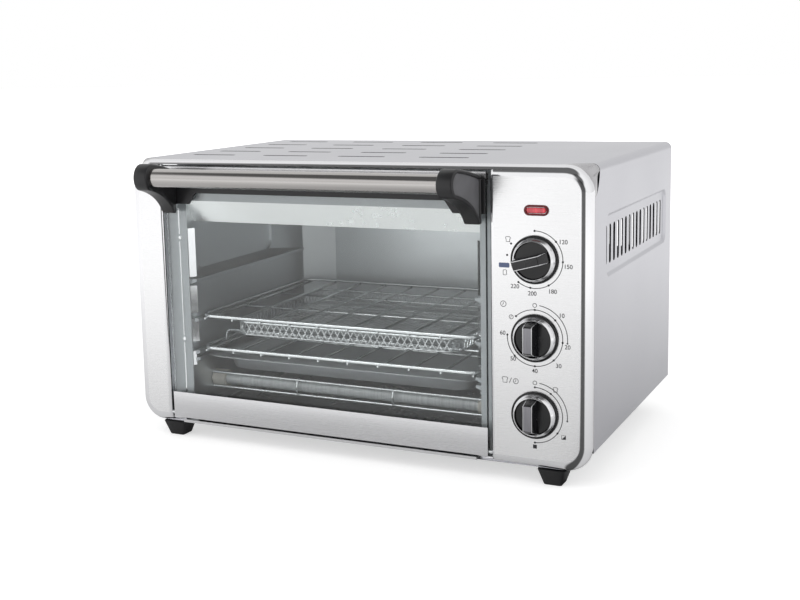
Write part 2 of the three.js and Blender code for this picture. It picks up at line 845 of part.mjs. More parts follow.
function cavityLiner() {
  const tub = cut(
    prismZ(cavityPlan(cavitySheet), cavityBottom - cavitySheet, cavityTop + cavitySheet),
    prismZ(cavityPlan(0), cavityBottom, cavityTop),
  );
  const faceFrame = cut(
    block(
      [openingLeft - frameSheet, linerFront, linerFrontBottom],
      [openingRight + frameSheet, linerFront + cavitySheet, openingTop],
    ),
    block(
      [cavityLeft, linerFront - overrun, linerFrontBottom - overrun],
      [cavityRight, linerFront + overrun, lintelTop],
    ),
  );
  const lintel = prismX(
    polygon(
      [linerFront, lintelTop + cavitySheet],
      [linerFront, lintelTop],
      [linerFront + lintelRun, lintelBottom],
      [linerFront + lintelRun + cavitySheet, lintelBottom],
      [linerFront + cavitySheet, lintelTop + cavitySheet],
    ),
    cavityLeft - cavitySheet / 2,
    cavityRight + cavitySheet / 2,
  );
  const embossOuter = roundedRectangle(
    embossFront - cavitySheet,
    embossBottom - cavitySheet,
    embossBack + cavitySheet,
    embossTop + cavitySheet,
    embossRadius + cavitySheet,
  );
  const embossInner = roundedRectangle(embossFront, embossBottom, embossBack, embossTop, embossRadius);
  const embossBackFace = cavityLeft - embossDepth - cavitySheet;
  const embossShell = prismX(embossOuter, embossBackFace, cavityLeft - cavitySheet / 2);
  const embossHollow = prismX(embossInner, cavityLeft - embossDepth, cavityLeft + overrun);
  const floorCut = block(
    [cavityLeft + floorLedgeSide, linerFront + floorLedgeFront, cavityBottom - overrun],
    [cavityRight - floorLedgeSide, cavityBack - floorLedgeBack, cavityBottom + overrun],
  );
  const frontCut = block(
    [cavityLeft, linerFront - overrun, cavityBottom],
    [cavityRight, linerFront + cavitySheet * 2, lintelTop],
  );
  const elementHoles = Object.entries(elementPlaces).map(([place, y]) => {
    const z = place.startsWith("upper") ? upperElementHeight : lowerElementHeight;
    return rodX(wallHoleRadius, cavityLeft - overrun * 3, cavityRight + overrun * 3, y, z, 12);
  });
  const fanSlots = Array.from({ length: fanSlotCount }, (_, k) => {
    const y = fanY + (k - (fanSlotCount - 1) / 2) * fanSlotPitch;
    const outline = slot(y, fanZ, fanSlotWidth, fanSlotLength);
    return prismX(outline, cavityRight - overrun, cavityRight + overrun * 2, 2);
  });
  const runners = [-1, 1].flatMap((side) => runnerLevels.map((z) => runner(side, z - gap)));
  const shell = unite(tub, faceFrame, lintel, embossShell);
  const walls = cut(shell, frontCut.subtract(lintel), embossHollow);
  return cut(unite(walls, ...runners), floorCut, ...elementHoles, ...fanSlots);
}

piece("cavity_liner", cavityLiner(), linerGrey);

// Heat shield between the cavity and the right bay
function heatShield() {
  const shieldBack = bodyDepth - 3 * backSheet;
  const sheet = block([shieldX, shieldFront, shieldBottom], [shieldX + shieldSheet, shieldBack, shieldTop]);
  return cut(sheet, rodX(shaftHoleRadius, shieldX - overrun, shieldX + overrun, fanY, fanZ, 16));
}

piece("heat_shield", heatShield(), galvanised);

// Heating tubes: quartz tubes seated in ceramic ends that pass through the cavity walls
function quartzTube(y, z) {
  const seat = ceramicLength - ceramicSeat + gap;
  const [from, to] = [cavityLeft + seat, cavityRight - seat];
  const tube = rodX(quartzRadius, from, to, y, z, 12);
  return cut(tube, rodX(quartzBore, from - overrun, to + overrun, y, z, 12));
}

function ceramicEnd(side, y, z) {
  const wall = side < 0 ? cavityLeft : cavityRight;
  const along = (distance) => wall - side * distance;
  const bar = (radius, from, to, segments = 8) => {
    const ends = [along(from), along(to)];
    return rodX(radius, Math.min(...ends), Math.max(...ends), y, z, segments);
  };
  const body = unite(
    bar(ceramicRadius, gap, ceramicLength),
    bar(ceramicNeckRadius, gap + overrun / 2, -ceramicNeckLength),
    bar(terminalRadius, -ceramicNeckLength + overrun / 2, -ceramicNeckLength - terminalLength),
  );
  return cut(body, bar(quartzRadius + gap, ceramicLength - ceramicSeat, ceramicLength + overrun, 12));
}

Object.entries(elementPlaces).forEach(([place, y]) => {
  const z = place.startsWith("upper") ? upperElementHeight : lowerElementHeight;
  piece(`heating_tube_${place}`, quartzTube(y, z), quartz);
  piece(`ceramic_end_${place}_left`, ceramicEnd(-1, y, z), ceramic);
  piece(`ceramic_end_${place}_right`, ceramicEnd(1, y, z), ceramic);
});

// Wire guard in front of the lower front heating tube: two rods joined by hoops round the tube
function elementGuard() {
  const y = elementPlaces.lower_front;
  const [left, right] = [cavityLeft + gap, cavityRight - gap];
  const rodPlace = (sign) => [
    y + guardHoopRadius * Math.cos(guardRodAngle),
    lowerElementHeight + sign * guardHoopRadius * Math.sin(guardRodAngle),
  ];
  const rods = [1, -1].map((sign) => rodX(guardWireRadius, left, right, ...rodPlace(sign), 6));
  const hoops = guardHoopShares.map((share) => {
    const x = left + share * (right - left);
    const steps = 8;
    const path = Array.from({ length: steps + 1 }, (_, k) => {
      const angle = Math.PI + (2 * k / steps - 1) * guardHoopHalfAngle;
      const [across, up] = [guardHoopRadius * Math.cos(angle), guardHoopRadius * Math.sin(angle)];
      return new THREE.Vector3(x, y + across, lowerElementHeight + up);
    });
    return wire(path, xAxis, guardWireRadius, 5);
  });
  return unite(...rods, ...hoops);
}

piece("heating_tube_guard", elementGuard(), wireSteel);

// Wire racks: a rounded rectangle of thick wire with thin wires welded under it
function rack(z) {
  const sideInset = rackSideGap + frameWireRadius;
  const [left, right] = [cavityLeft + sideInset, cavityRight - sideInset];
  const path = rectanglePath(left, rackFront + frameWireRadius, right, rackBack - frameWireRadius, z);
  const loop = wire(filleted(path, rackCornerRadius, 3, true), zAxis, frameWireRadius, 6, true);
  const under = z - frameWireRadius - crossWireRadius + weldDepth;
  const cross = Array.from({ length: crossWireCount }, (_, k) => {
    const x = crossWireFirst + (k * (crossWireLast - crossWireFirst)) / (crossWireCount - 1);
    return rodY(crossWireRadius, rackFront + gap, rackBack - gap, x, under, 5);
  });
  const stiffeners = stiffenerPlaces.map((y) => {
    const low = under - 2 * crossWireRadius + weldDepth;
    const [from, to] = [crossWireFirst - stiffenerOverhang, crossWireLast + stiffenerOverhang];
    return rodX(crossWireRadius, from, to, y, low, 5);
  });
  return unite(loop, ...cross, ...stiffeners);
}

piece("lower_rack", rack(rackLevels[0]), wireSteel);
piece("upper_rack", rack(rackLevels[1]), wireSteel);

// Mesh basket: open diamond mesh tub with a wire rim, standing on bent wire legs on the lower rack
function basketRing(inset, z) {
  const radius = basketCornerRadius - inset;
  return roundedRing(
    basketLeft + inset,
    basketFront + inset,
    basketRight - inset,
    basketBack - inset,
    radius,
    3,
    (x, y) => [x, y, z],
  );
}

function diamond(u, v, spanU, spanV) {
  return polygon([u - spanU / 2, v], [u, v - spanV / 2], [u + spanU / 2, v], [u, v + spanV / 2]);
}

function meshBasket() {
  const outer = loft([basketRing(0, basketFloorHeight), basketRing(0, basketRimHeight)]);
  const inner = loft([
    basketRing(basketSheet, basketFloorHeight + basketSheet),
    basketRing(basketSheet, basketRimHeight + overrun),
  ]);
  const tub = cut(outer, inner);
  const [meshLeft, meshRight] = [basketLeft + basketCornerRadius / 2, basketRight - basketCornerRadius / 2];
  const [meshFront, meshBack] = [basketFront + basketCornerRadius / 2, basketBack - basketCornerRadius / 2];
  const pitchX = (meshRight - meshLeft) / basketColumns;
  const pitchY = (meshBack - meshFront) / basketRows;
  const holes = [];
  for (let row = 0; row < basketRows; row += 1) {
    for (let column = 0; column < basketColumns; column += 1) {
      const x = meshLeft + (column + 0.5) * pitchX;
      const y = meshFront + (row + 0.5) * pitchY;
      const outline = diamond(x, y, pitchX - basketStrand, pitchY * 2 - basketStrand * 2);
      if (row % 2 === column % 2 && row > 0 && row < basketRows - 1) {
        holes.push(prismZ(outline, basketFloorHeight - overrun, basketFloorHeight + basketSheet + overrun));
      }
    }
  }
  const wallMiddle = (basketFloorHeight + basketRimHeight) / 2;
  const wallSpan = basketRimHeight - basketFloorHeight - 2 * basketStrand;
  for (let column = 0; column < basketColumns; column += 1) {
    const outline = diamond(meshLeft + (column + 0.5) * pitchX, wallMiddle, pitchX - basketStrand, wallSpan);
    holes.push(prismY(outline, basketFront - overrun, basketBack + overrun));
  }
  for (let row = 0; row < basketRows; row += 1) {
    const outline = diamond(meshFront + (row + 0.5) * pitchY, wallMiddle, pitchY - basketStrand, wallSpan);
    holes.push(prismX(outline, basketLeft - overrun, basketRight + overrun));
  }
  const rimInset = basketSheet / 2;
  const rimPath = rectanglePath(
    basketLeft + rimInset,
    basketFront + rimInset,
    basketRight - rimInset,
    basketBack - rimInset,
    basketRimHeight,
  );
  const rimLoop = filleted(rimPath, basketCornerRadius - rimInset, 3, true);
  const rim = wire(rimLoop, zAxis, basketRimRadius, 5, true);
  const footTip = rackLevels[0] - frameWireRadius + weldDepth + gap;
  const legHeight = basketFloorHeight - legWireRadius + weldDepth;
  const legs = [basketFront + legInset, basketBack - legInset].map((y) => {
    const path = [
      new THREE.Vector3(crossWireFirst, y, footTip),
      new THREE.Vector3(crossWireFirst, y, legHeight),
      new THREE.Vector3(crossWireLast, y, legHeight),
      new THREE.Vector3(crossWireLast, y, footTip),
    ];
    return wire(filleted(path, legBend, 3, false), yAxis, legWireRadius, 5);
  });
  return unite(cut(tub, ...holes), rim, ...legs);
}

piece("mesh_basket", meshBasket(), wireSteel);

// Baking tray: pressed pan with a flat rim that rests on the lowest runners
function trayRing(inset, radius, z) {
  const [left, right] = [cavityLeft + trayRimGap + inset, cavityRight - trayRimGap - inset];
  return roundedRing(left, trayFront + inset, right, trayBack - inset, radius, 4, (x, y) => [x, y, z]);
}

function bakingTray() {
  const rimBottom = trayRimHeight - traySheet;
  const floorInset = trayRimWidth + trayWallRun;
  const floorRadius = trayCornerRadius - trayWallRun / 2;
  const bendHeight = trayRimHeight - trayDepth + trayWallRun / 2;
  const rim = loft([trayRing(0, trayCornerRadius, rimBottom), trayRing(0, trayCornerRadius, trayRimHeight)]);
  const outer = loft([
    trayRing(floorInset, floorRadius, trayRimHeight - trayDepth),
    trayRing(trayRimWidth + trayWallRun / 4, trayCornerRadius, bendHeight),
    trayRing(trayRimWidth, trayCornerRadius, rimBottom + traySheet / 2),
  ]);
  const inner = loft([
    trayRing(floorInset + traySheet, floorRadius, trayRimHeight - trayDepth + traySheet),
    trayRing(trayRimWidth + traySheet + trayWallRun / 4, trayCornerRadius, bendHeight),
    trayRing(trayRimWidth + traySheet, trayCornerRadius, trayRimHeight + overrun),
  ]);
  return cut(unite(rim, outer), inner);
}

piece("baking_tray", bakingTray(), enamel);

// Drop door
const doorCentre = doorSheet + gap + glassThickness / 2;
const glassFront = doorSheet + gap;
const glassBack = glassFront + glassThickness;
const channelBack = glassBack + gap + doorSheet;
const bracketPlaces = [-1, 1].map((side) => {
  const outer = side < 0 ? doorLeft + bracketInset : doorRight - bracketInset;
  return { side, outer, inner: outer - side * bracketWidth, word: side < 0 ? "left" : "right" };
});
const screwX = ({ outer, inner }) => (outer + inner) / 2;
const screwHole = (place, back) => {
  const front = -railStandOff - overrun;
  return rodY(screwHoleRadius, front, back, screwX(place), screwHeight, 12);
};

function doorGlass() {
  const glass = block(
    [doorLeft + doorSheet, glassFront, stripBackTop - capBackHeight / 2],
    [doorRight - doorSheet, glassBack, doorTop - doorSheet - gap],
  );
  const holes = bracketPlaces.map((place) => screwHole(place, glassBack + overrun));
  return cut(glass, ...holes);
}

piece("door_glass", doorGlass(), clearGlass);

// Folded channel along an edge of the glass: the outline is in depth and height
function doorChannel(outline) {
  return prismX(outline, doorLeft, doorRight);
}

const capOutline = polygon(
  [0, doorTop - capHeight],
  [doorSheet, doorTop - capHeight],
  [doorSheet, doorTop - doorSheet],
  [channelBack - doorSheet, doorTop - doorSheet],
  [channelBack - doorSheet, doorTop - capBackHeight],
  [channelBack, doorTop - capBackHeight],
  [channelBack, doorTop],
  [0, doorTop],
);
const stripOutline = polygon(
  [0, doorBottom],
  [channelBack, doorBottom],
  [channelBack, stripBackTop],
  [channelBack - doorSheet, stripBackTop],
  [channelBack - doorSheet, doorBottom + doorSheet],
  [doorSheet, doorBottom + doorSheet],
  [doorSheet, stripTop],
  [0, stripTop],
);

piece("door_top_cap", doorChannel(capOutline), steel);
piece("door_bottom_strip", doorChannel(stripOutline), steel);

// Black rail across the door, with a tab beside each handle bracket
function doorTopRail() {
  const [leftFoot, rightFoot] = bracketPlaces.map(({ side, inner }) => inner - side * railTabWidth);
  const outline = polygon(
    [doorLeft, railTop],
    [doorLeft, railBottom - railTabDrop],
    [leftFoot, railBottom - railTabDrop],
    [leftFoot + railTabSlope, railBottom],
    [rightFoot - railTabSlope, railBottom],
    [rightFoot, railBottom - railTabDrop],
    [doorRight, railBottom - railTabDrop],
    [doorRight, railTop],
  );
  const holes = bracketPlaces.map((place) => screwHole(place, glassFront + overrun));
  return cut(prismY(outline, -railStandOff, glassFront - gap), ...holes);
}

piece("door_top_rail", doorTopRail(), black);

// Handle: steel tube between two moulded brackets that splay outwards to the door
function bracketOutline() {
  const back = -railStandOff - gap;
  const above = tubeHeight + bracketTopShare * ringRadius;
  const below = tubeHeight - bracketBellyShare * ringRadius;
  const footFront = back - bracketFootShare * bracketWidth;
  const outline = new THREE.Shape();
  outline.moveTo(back, bracketFootBottom);
  outline.lineTo(back, tubeHeight + ringRadius / 4);
  outline.quadraticCurveTo(-tubeDistance / 2, above, -tubeDistance, tubeHeight + ringRadius);
  outline.absarc(-tubeDistance, tubeHeight, ringRadius, Math.PI / 2, (4 * Math.PI) / 3);
  outline.quadraticCurveTo(-tubeDistance * bracketReachShare, below, footFront, bracketFootBottom);
  return outline;
}

function handleBracket({ side, outer, inner }) {
  const body = prismX(bracketOutline(), Math.min(outer, inner), Math.max(outer, inner), 6);
  const ramp = bracketSplay / tubeDistance;
  const splayed = body.warp((place) => {
    place[0] += side * ramp * (place[1] + railStandOff);
  });
  const tubeEnd = inner + side * socketDepth - side * bracketSplay;
  const openEnd = inner - side * (bracketSplay + overrun);
  const socket = rodX(
    tubeRadius + gap,
    Math.min(tubeEnd, openEnd),
    Math.max(tubeEnd, openEnd),
    -tubeDistance,
    tubeHeight,
    20,
  );
  const x = screwX({ outer, inner });
  return cut(splayed, socket, rodY(screwShankRadius + gap, -screwReach, overrun, x, screwHeight, 12));
}

bracketPlaces.forEach((place) => piece(`handle_bracket_${place.word}`, handleBracket(place), black));

function handleTube() {
  const reach = socketDepth - bracketSplay - gap;
  const [from, to] = bracketPlaces.map(({ side, inner }) => inner + side * reach);
  const tube = rodX(tubeRadius, from, to, -tubeDistance, tubeHeight, 20);
  return cut(tube, rodX(tubeRadius - tubeWall, from - overrun, to + overrun, -tubeDistance, tubeHeight, 20));
}

piece("handle_tube", handleTube(), steel);

function handleScrew(place) {
  const [seat, x] = [glassBack + gap, screwX(place)];
  const head = rodY(screwHeadRadius, seat, seat + screwHeadThickness, x, screwHeight, 12);
  const shank = rodY(screwShankRadius, gap - screwReach, seat + screwHeadThickness / 2, x, screwHeight, 12);
  return unite(head, shank);
}

bracketPlaces.forEach((place) => piece(`handle_screw_${place.word}`, handleScrew(place), wireSteel));

// Hinges: pins in the bottom strip's ends turn in plates behind the frame
const hingePlaces = [
  { word: "left", side: -1, doorEdge: doorLeft, openingEdge: openingLeft },
  { word: "right", side: 1, doorEdge: doorRight, openingEdge: openingRight },
];

hingePlaces.forEach(({ word, side, doorEdge, openingEdge }) => {
  const plateInner = openingEdge + side * (returnSheet + gap);
  const plateOuter = plateInner + side * hingePlateThickness;
  const plate = block(
    [Math.min(plateInner, plateOuter), hingePlateFront, hingePlateBottom],
    [Math.max(plateInner, plateOuter), hingePlateDepth, hingePlateTop],
  );
  const pinOuter = plateOuter + side * hingePinReach;
  const pinInner = doorEdge - side * hingePinGrip;
  const pin = (radius, reach) =>
    rodX(
      radius,
      Math.min(pinOuter + side * reach, pinInner),
      Math.max(pinOuter + side * reach, pinInner),
      doorCentre,
      hingeHeight,
      16,
    );
  piece(`hinge_plate_${word}`, cut(plate, pin(hingePinRadius + gap, overrun)), galvanised);
  piece(`hinge_pin_${word}`, pin(hingePinRadius, 0), wireSteel);
});

// Knobs, each with a chrome ring and a shaft that runs into its control
function lathe(profile, segments) {
  return solid(new THREE.LatheGeometry(profile.map(([r, y]) => new THREE.Vector2(r, y)), segments));
}

function knob(z, turn) {
  const skirt = lathe(
    [
      [0, knobBack],
      [knobSkirtRadius, knobBack],
      [knobSkirtRadius, knobFace / 3],
      [knobFaceRadius, knobFace + ringSeat / 2],
      [knobFaceRadius - ringSeat / 2, knobFace],
      [0, knobFace],
    ],
    24,
  );
  const gripOutline = polygon(
    [-gripFoot, knobFace + gripSink],
    [gripFoot, knobFace + gripSink],
    [gripHead, gripFront],
    [-gripHead, gripFront],
  );
  const raised = new THREE.ExtrudeGeometry(gripOutline, { depth: gripWidth, bevelEnabled: false });
  const grip = solid(raised.translate(0, 0, -gripWidth / 2).rotateY(Math.PI / 2));
  const groove = lathe(
    [
      [ringInner - gap, knobFace + ringSeat + gap],
      [ringOuter + gap, knobFace + ringSeat + gap],
      [ringOuter + gap, knobFace - overrun],
      [ringInner - gap, knobFace - overrun],
      [ringInner - gap, knobFace + ringSeat + gap],
    ],
    24,
  );
  const [mouth, end] = [knobBack + overrun, knobBack - knobSocket];
  const bore = lathe([[0, mouth], [knobBore, mouth], [knobBore, end], [0, end]], 12);
  return cut(unite(skirt, grip), groove, bore).rotate([0, turn, 0]).translate([dialX, 0, z]);
}

function knobRing(z) {
  const profile = [
    [ringInner, knobFace + ringSeat],
    [ringOuter, knobFace + ringSeat],
    [ringOuter, knobFace - ringProud / 2],
    [(ringInner + ringOuter) / 2, knobFace - ringProud],
    [ringInner, knobFace - ringProud / 2],
    [ringInner, knobFace + ringSeat],
  ];
  return lathe(profile, 24).translate([dialX, 0, z]);
}

function controlUnit(z) {
  const outline = roundedRectangle(
    dialX - controlWidth / 2,
    z - controlHeight / 2,
    dialX + controlWidth / 2,
    z + controlHeight / 2,
    controlEdge,
  );
  const body = prismY(outline, frameSheet + gap, frameSheet + gap + controlDepth, 2);
  return cut(body, rodY(controlBore, -overrun, shaftTail + gap, dialX, z, 16));
}

Object.entries(dialHeights).forEach(([word, z]) => {
  piece(`${word}_knob`, knob(z, word === "temperature" ? temperatureRest : 0), black);
  piece(`${word}_knob_ring`, knobRing(z), chrome);
  piece(`${word}_shaft`, rodY(shaftRadius, knobBack - knobSocket + gap, shaftTail, dialX, z, 16), wireSteel);
});

piece("thermostat", controlUnit(dialHeights.temperature), galvanised);
piece("timer", controlUnit(dialHeights.timer), galvanised);
piece("toast_timer", controlUnit(dialHeights.toast), galvanised);

// Indicator lamp
function lampBezel() {
  const outer = prismY(slot(lampX, lampZ, lampWidth, lampHeight), -bezelProud, -gap, 3);
  const sleeve = prismY(
    slot(lampX, lampZ, lampWidth - lampHole - 2 * gap, lampHeight - lampHole - 2 * gap),
    -gap - bezelProud / 2,
    bezelDepth,
    2,
  );
  const hole = prismY(
    slot(lampX, lampZ, lampWidth - 2 * bezelWall, lampHeight - 2 * bezelWall),
    -bezelProud - overrun,
    bezelDepth + overrun,
    2,
  );
  return cut(unite(outer, sleeve), hole);
}

function lampLens() {
  const inset = bezelWall + gap;
  const outline = slot(lampX, lampZ, lampWidth - 2 * inset, lampHeight - 2 * inset);
  return prismY(outline, -bezelProud + lensRecess, bezelDepth - lensRecess, 2);
}

piece("lamp_bezel", lampBezel(), darkRed);
piece("lamp_lens", lampLens(), lampRed);

// Convection fan behind the cavity's right wall, and its motor on the heat shield
function fanBlade() {
  const front = cavityRight + cavitySheet + fanGap;
  const discFront = front + fanBladeWidth - fanDiscSheet;
  const backDisc = rodX(fanRadius - fanGap, discFront, front + fanBladeWidth, fanY, fanZ, 20);
  const hub = rodX(fanHubRadius, front, front + fanBladeWidth, fanY, fanZ, 16);
  const shaft = rodX(fanShaftRadius, front + fanBladeWidth / 2, front + fanShaftLength, fanY, fanZ, 12);
  const blades = Array.from({ length: fanBladeCount }, (_, k) => {
    const blade = block(
      [front, fanHubRadius / 2, -fanBladeSheet / 2],
      [front + fanBladeWidth - fanDiscSheet / 2, fanRadius, fanBladeSheet / 2],
    );
    return blade.rotate([(360 * k) / fanBladeCount, 0, 0]).translate([0, fanY, fanZ]);
  });
  return unite(backDisc, hub, shaft, ...blades);
}

piece("fan_blade", fanBlade(), galvanised);

function fanMotor() {
  const front = shieldX + shieldSheet + gap;
  const body = rodX(motorRadius, front, front + motorLength, fanY, fanZ, 24);
  const bore = rodX(motorBore, front - overrun, front + motorLength / 2, fanY, fanZ, 16);
  return cut(body, bore);
}

piece("fan_motor", fanMotor(), galvanised);

// Feet: tapered blocks under the frame and the base plate
function foot(x, y, top) {
  const ring = (size, z) => {
    const [left, near, right, far] = [x - size / 2, y - size / 2, x + size / 2, y + size / 2];
    return roundedRing(left, near, right, far, size * footRoundShare, 2, (u, v) => [u, v, z]);
  };
  return loft([ring(footToe, 0), ring(footTop, Math.min(top, frameBottom) - gap), ring(footTop, top - gap)]);
}

[-1, 1].forEach((side) => {
  const word = side < 0 ? "left" : "right";
  piece(`foot_front_${word}`, foot(side * footX, frontFootY, frameBottom), black);
  piece(`foot_rear_${word}`, foot(side * footX, rearFootY, baseTop - panSheet), black);
});

// Origin: middle of the outer box, on the worktop
oven.position.y = (tubeDistance + ringRadius - bodyDepth - glandReach) / 2;

export default oven;
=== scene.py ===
"""A countertop mini oven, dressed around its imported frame.

Every shape is worked out in millimetres with y = 0 at the front face and z = 0 on the worktop,
and is put into metres in the frame's own place when its mesh is made.
"""

import json
import math

import bmesh
import bpy
import numpy as np
from mathutils import Matrix, Vector
from mathutils.geometry import delaunay_2d_cdt

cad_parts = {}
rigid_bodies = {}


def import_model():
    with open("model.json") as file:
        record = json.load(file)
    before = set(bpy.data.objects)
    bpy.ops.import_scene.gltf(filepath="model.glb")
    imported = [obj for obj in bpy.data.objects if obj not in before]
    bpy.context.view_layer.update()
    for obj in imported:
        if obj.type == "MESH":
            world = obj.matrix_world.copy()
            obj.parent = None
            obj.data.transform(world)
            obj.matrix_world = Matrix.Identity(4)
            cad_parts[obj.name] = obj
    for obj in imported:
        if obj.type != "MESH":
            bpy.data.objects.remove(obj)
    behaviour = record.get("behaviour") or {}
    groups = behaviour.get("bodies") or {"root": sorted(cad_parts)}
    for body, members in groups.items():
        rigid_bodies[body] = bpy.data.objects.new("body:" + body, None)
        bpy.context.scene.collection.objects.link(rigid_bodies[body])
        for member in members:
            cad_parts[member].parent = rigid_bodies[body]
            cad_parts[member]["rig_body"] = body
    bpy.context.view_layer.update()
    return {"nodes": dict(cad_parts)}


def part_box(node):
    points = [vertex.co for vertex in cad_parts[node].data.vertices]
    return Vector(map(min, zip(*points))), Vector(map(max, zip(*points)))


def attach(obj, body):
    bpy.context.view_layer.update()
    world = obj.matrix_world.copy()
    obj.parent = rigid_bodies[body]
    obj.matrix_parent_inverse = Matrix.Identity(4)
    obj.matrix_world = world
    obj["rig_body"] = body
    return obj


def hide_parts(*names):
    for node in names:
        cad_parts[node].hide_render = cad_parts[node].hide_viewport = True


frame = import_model()

MM = 0.001
FRONT = np.array([0.0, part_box("front_frame")[0].y, 0.0])
TAU = 2 * math.pi

# Sizes of the front frame and cover
HALF_WIDTH = 215.0
TOP = 258.0
FRAME_BOTTOM = 14.0
CORNER_RADIUS = 22.0
BULLNOSE = 9.0
SKIN_BACK = 9.3
BLEND = np.array([26.0, 13.0, 25.0])
CORNER_GAP = 1.1
CORNER_TUCK = 0.5
COVER_FRONT = 9.6
COVER_BACK = 275.0
COVER_BOTTOM = 30.0
COVER_EDGE = 6.0
SHEET = 1.0
OPENING = (-181.0, 18.7, 133.0, 253.2)
OPENING_FOLD = 3.0
CRUMB_NOTCH = (-168.3, 15.4, 120.3)

# Vents
TOP_SLOT, SIDE_SLOT, BACK_SLOT = (46.0, 5.4), (32.0, 6.0), (6.0, 60.0)
TOP_SLOTS = [(x, 62.0 + 46.0 * row) for row in range(5) for x in (-163.0, -86.5, -9.5, 69.0)]
RECESS = (43.0, 165.0, 254.0, 216.0)
RECESS_DEPTH, RECESS_RADIUS = 2.0, 9.0
RECESS_RINGS = (1.0, 0.4, 0.0, -0.7, -1.4, -2.1, -2.7, -3.0, -3.4)
SIDE_SLOTS = [(49.0 + 12.6 * k, 190.5) for k in range(16)]
BACK_SLOTS = [(172.0 + (k - 2.5) * 12.6, 185.0) for k in range(6)]
GLAND = (172.0, 62.0)

# Door and handle
DOOR = (-178.0, 19.9, 130.0, 252.2)
CHANNEL_BACK, DOOR_SHEET = 6.2, 0.8
TUBE_Y, TUBE_Z, TUBE_RADIUS = -42.0, 246.0, 7.9
TUBE_ENDS = (-167.2, 119.2)
BRACKET_WIDTH, BRACKET_EDGE = 13.5, 1.4
BRACKET_SPLAY = 4.0 / 42.0

# Cavity fittings
CAVITY = (-160.0, 122.0)
RACK_X = (-157.6, 119.6)
RACK_Y = (16.0, 222.0)
RACK_LEVELS = {"lower_rack": 84.0, "upper_rack": 114.0}
WIRE, CROSS_WIRE, LEG_WIRE = 1.6, 1.1, 1.2
SUNK = 0.35
CROSS_X = np.linspace(-150.0, 112.0, 10)
CROSS_RAILS = (90.0, 158.0)
BASKET = (-131.0, 34.0, 93.0, 206.0)
BASKET_FLOOR, BASKET_RIM = 95.0, 107.0
BASKET_LEGS = (52.0, 188.0)
TRAY = (-157.0, 18.0, 119.0, 214.0)
ELEMENTS = {"lower_front": (46.0, 49.0), "lower_rear": (172.0, 49.0),
            "upper_front": (62.0, 222.0), "upper_rear": (172.0, 222.0)}
GUARD_RADIUS, GUARD_WIRE = 9.6, 1.1

# Controls
DIAL_X = 170.0
DIALS = {"temperature": 184.2, "timer": 121.7, "toast": 59.2}
REST_TURN = {"temperature": 255.0, "timer": 0.0, "toast": 0.0}
LAMP = (171.5, 223.0)


# Meshes


class Shape:
    """Points and faces gathered in millimetres, then made into one mesh object."""

    def __init__(self):
        self.points, self.faces, self.count = [], [], 0

    def add(self, points, *faces):
        """Adds points, and arrays of faces that number those points from 0."""
        points = np.asarray(points, float).reshape(-1, 3)
        for face in faces:
            self.faces.append(np.asarray(face, int).reshape(len(face), -1) + self.count)
        self.points.append(points)
        self.count += len(points)
        return self

    def grid(self, points, around=False, flip=False, ends=False):
        """Quads over an array of rows and columns. around joins the last column to the first;
        ends closes the first and last rows with flat faces."""
        rows, columns = points.shape[:2]
        index = np.arange(rows * columns).reshape(rows, columns)
        right = np.roll(index, -1, 1) if around else index[:, 1:]
        left = index if around else index[:, :-1]
        quads = np.stack([left[:-1], right[:-1], right[1:], left[1:]], -1).reshape(-1, 4)
        if flip:
            quads = quads[:, ::-1]
        faces = [quads]
        if ends:
            caps = [index[0], index[-1][::-1]] if flip else [index[0][::-1], index[-1]]
            faces += [cap[None] for cap in caps]
        return self.add(points, *faces)

    def made(self, name, material, body, node, slot, smooth, weld=0.0, outwards=True):
        """The mesh object: it rides on its body, replaces its CAD node and has its faces outwards.
        An open skin is drawn the right way round already, and leaves outwards off. Edges up to
        smooth degrees are shaded smoothly, and points within weld millimetres are joined."""
        points = np.concatenate(self.points) * MM + FRONT
        mesh = bpy.data.meshes.new(name)
        mesh.vertices.add(len(points))
        mesh.vertices.foreach_set("co", points.astype(np.float32).ravel())
        sizes = np.concatenate([np.full(len(face), face.shape[1]) for face in self.faces])
        mesh.loops.add(int(sizes.sum()))
        mesh.loops.foreach_set("vertex_index", np.concatenate([f.ravel() for f in self.faces]))
        mesh.polygons.add(len(sizes))
        mesh.polygons.foreach_set("loop_start", np.concatenate([[0], np.cumsum(sizes)[:-1]]))
        mesh.update(calc_edges=True)
        mesh.validate()
        if weld or outwards:
            tidy(mesh, weld, outwards)
        return finished(mesh, name, material, body, node, smooth)


def tidy(mesh, weld, outwards):
    """Joins points closer than weld millimetres and turns the faces outwards."""
    work = bmesh.new()
    work.from_mesh(mesh)
    if weld:
        bmesh.ops.remove_doubles(work, verts=work.verts, dist=weld * MM)
    if outwards:
        bmesh.ops.recalc_face_normals(work, faces=work.faces)
    work.to_mesh(mesh)
    work.free()


def sheet_shell(points, faces, thickness):
    """A sheet with its thickness: the outer skin, the same skin moved back along the mean normal of
    each point's faces, and walls along every open edge. Also gives the number of wall faces."""
    used, faces = np.unique(faces, return_inverse=True)
    points, faces = points[used], faces.reshape(-1, 3)
    a, b, c = (points[faces[:, k]] for k in range(3))
    normal = np.zeros_like(points)
    for k in range(3):
        np.add.at(normal, faces[:, k], np.cross(b - a, c - a))
    normal /= np.linalg.norm(normal, axis=1, keepdims=True)
    count, edge = len(points), boundary(faces)
    walls = np.stack([edge[:, 1], edge[:, 0], edge[:, 0] + count, edge[:, 1] + count], -1)
    both = np.concatenate([points, points - normal * thickness])
    return Shape().add(both, faces, faces[:, ::-1] + count, walls), len(walls)


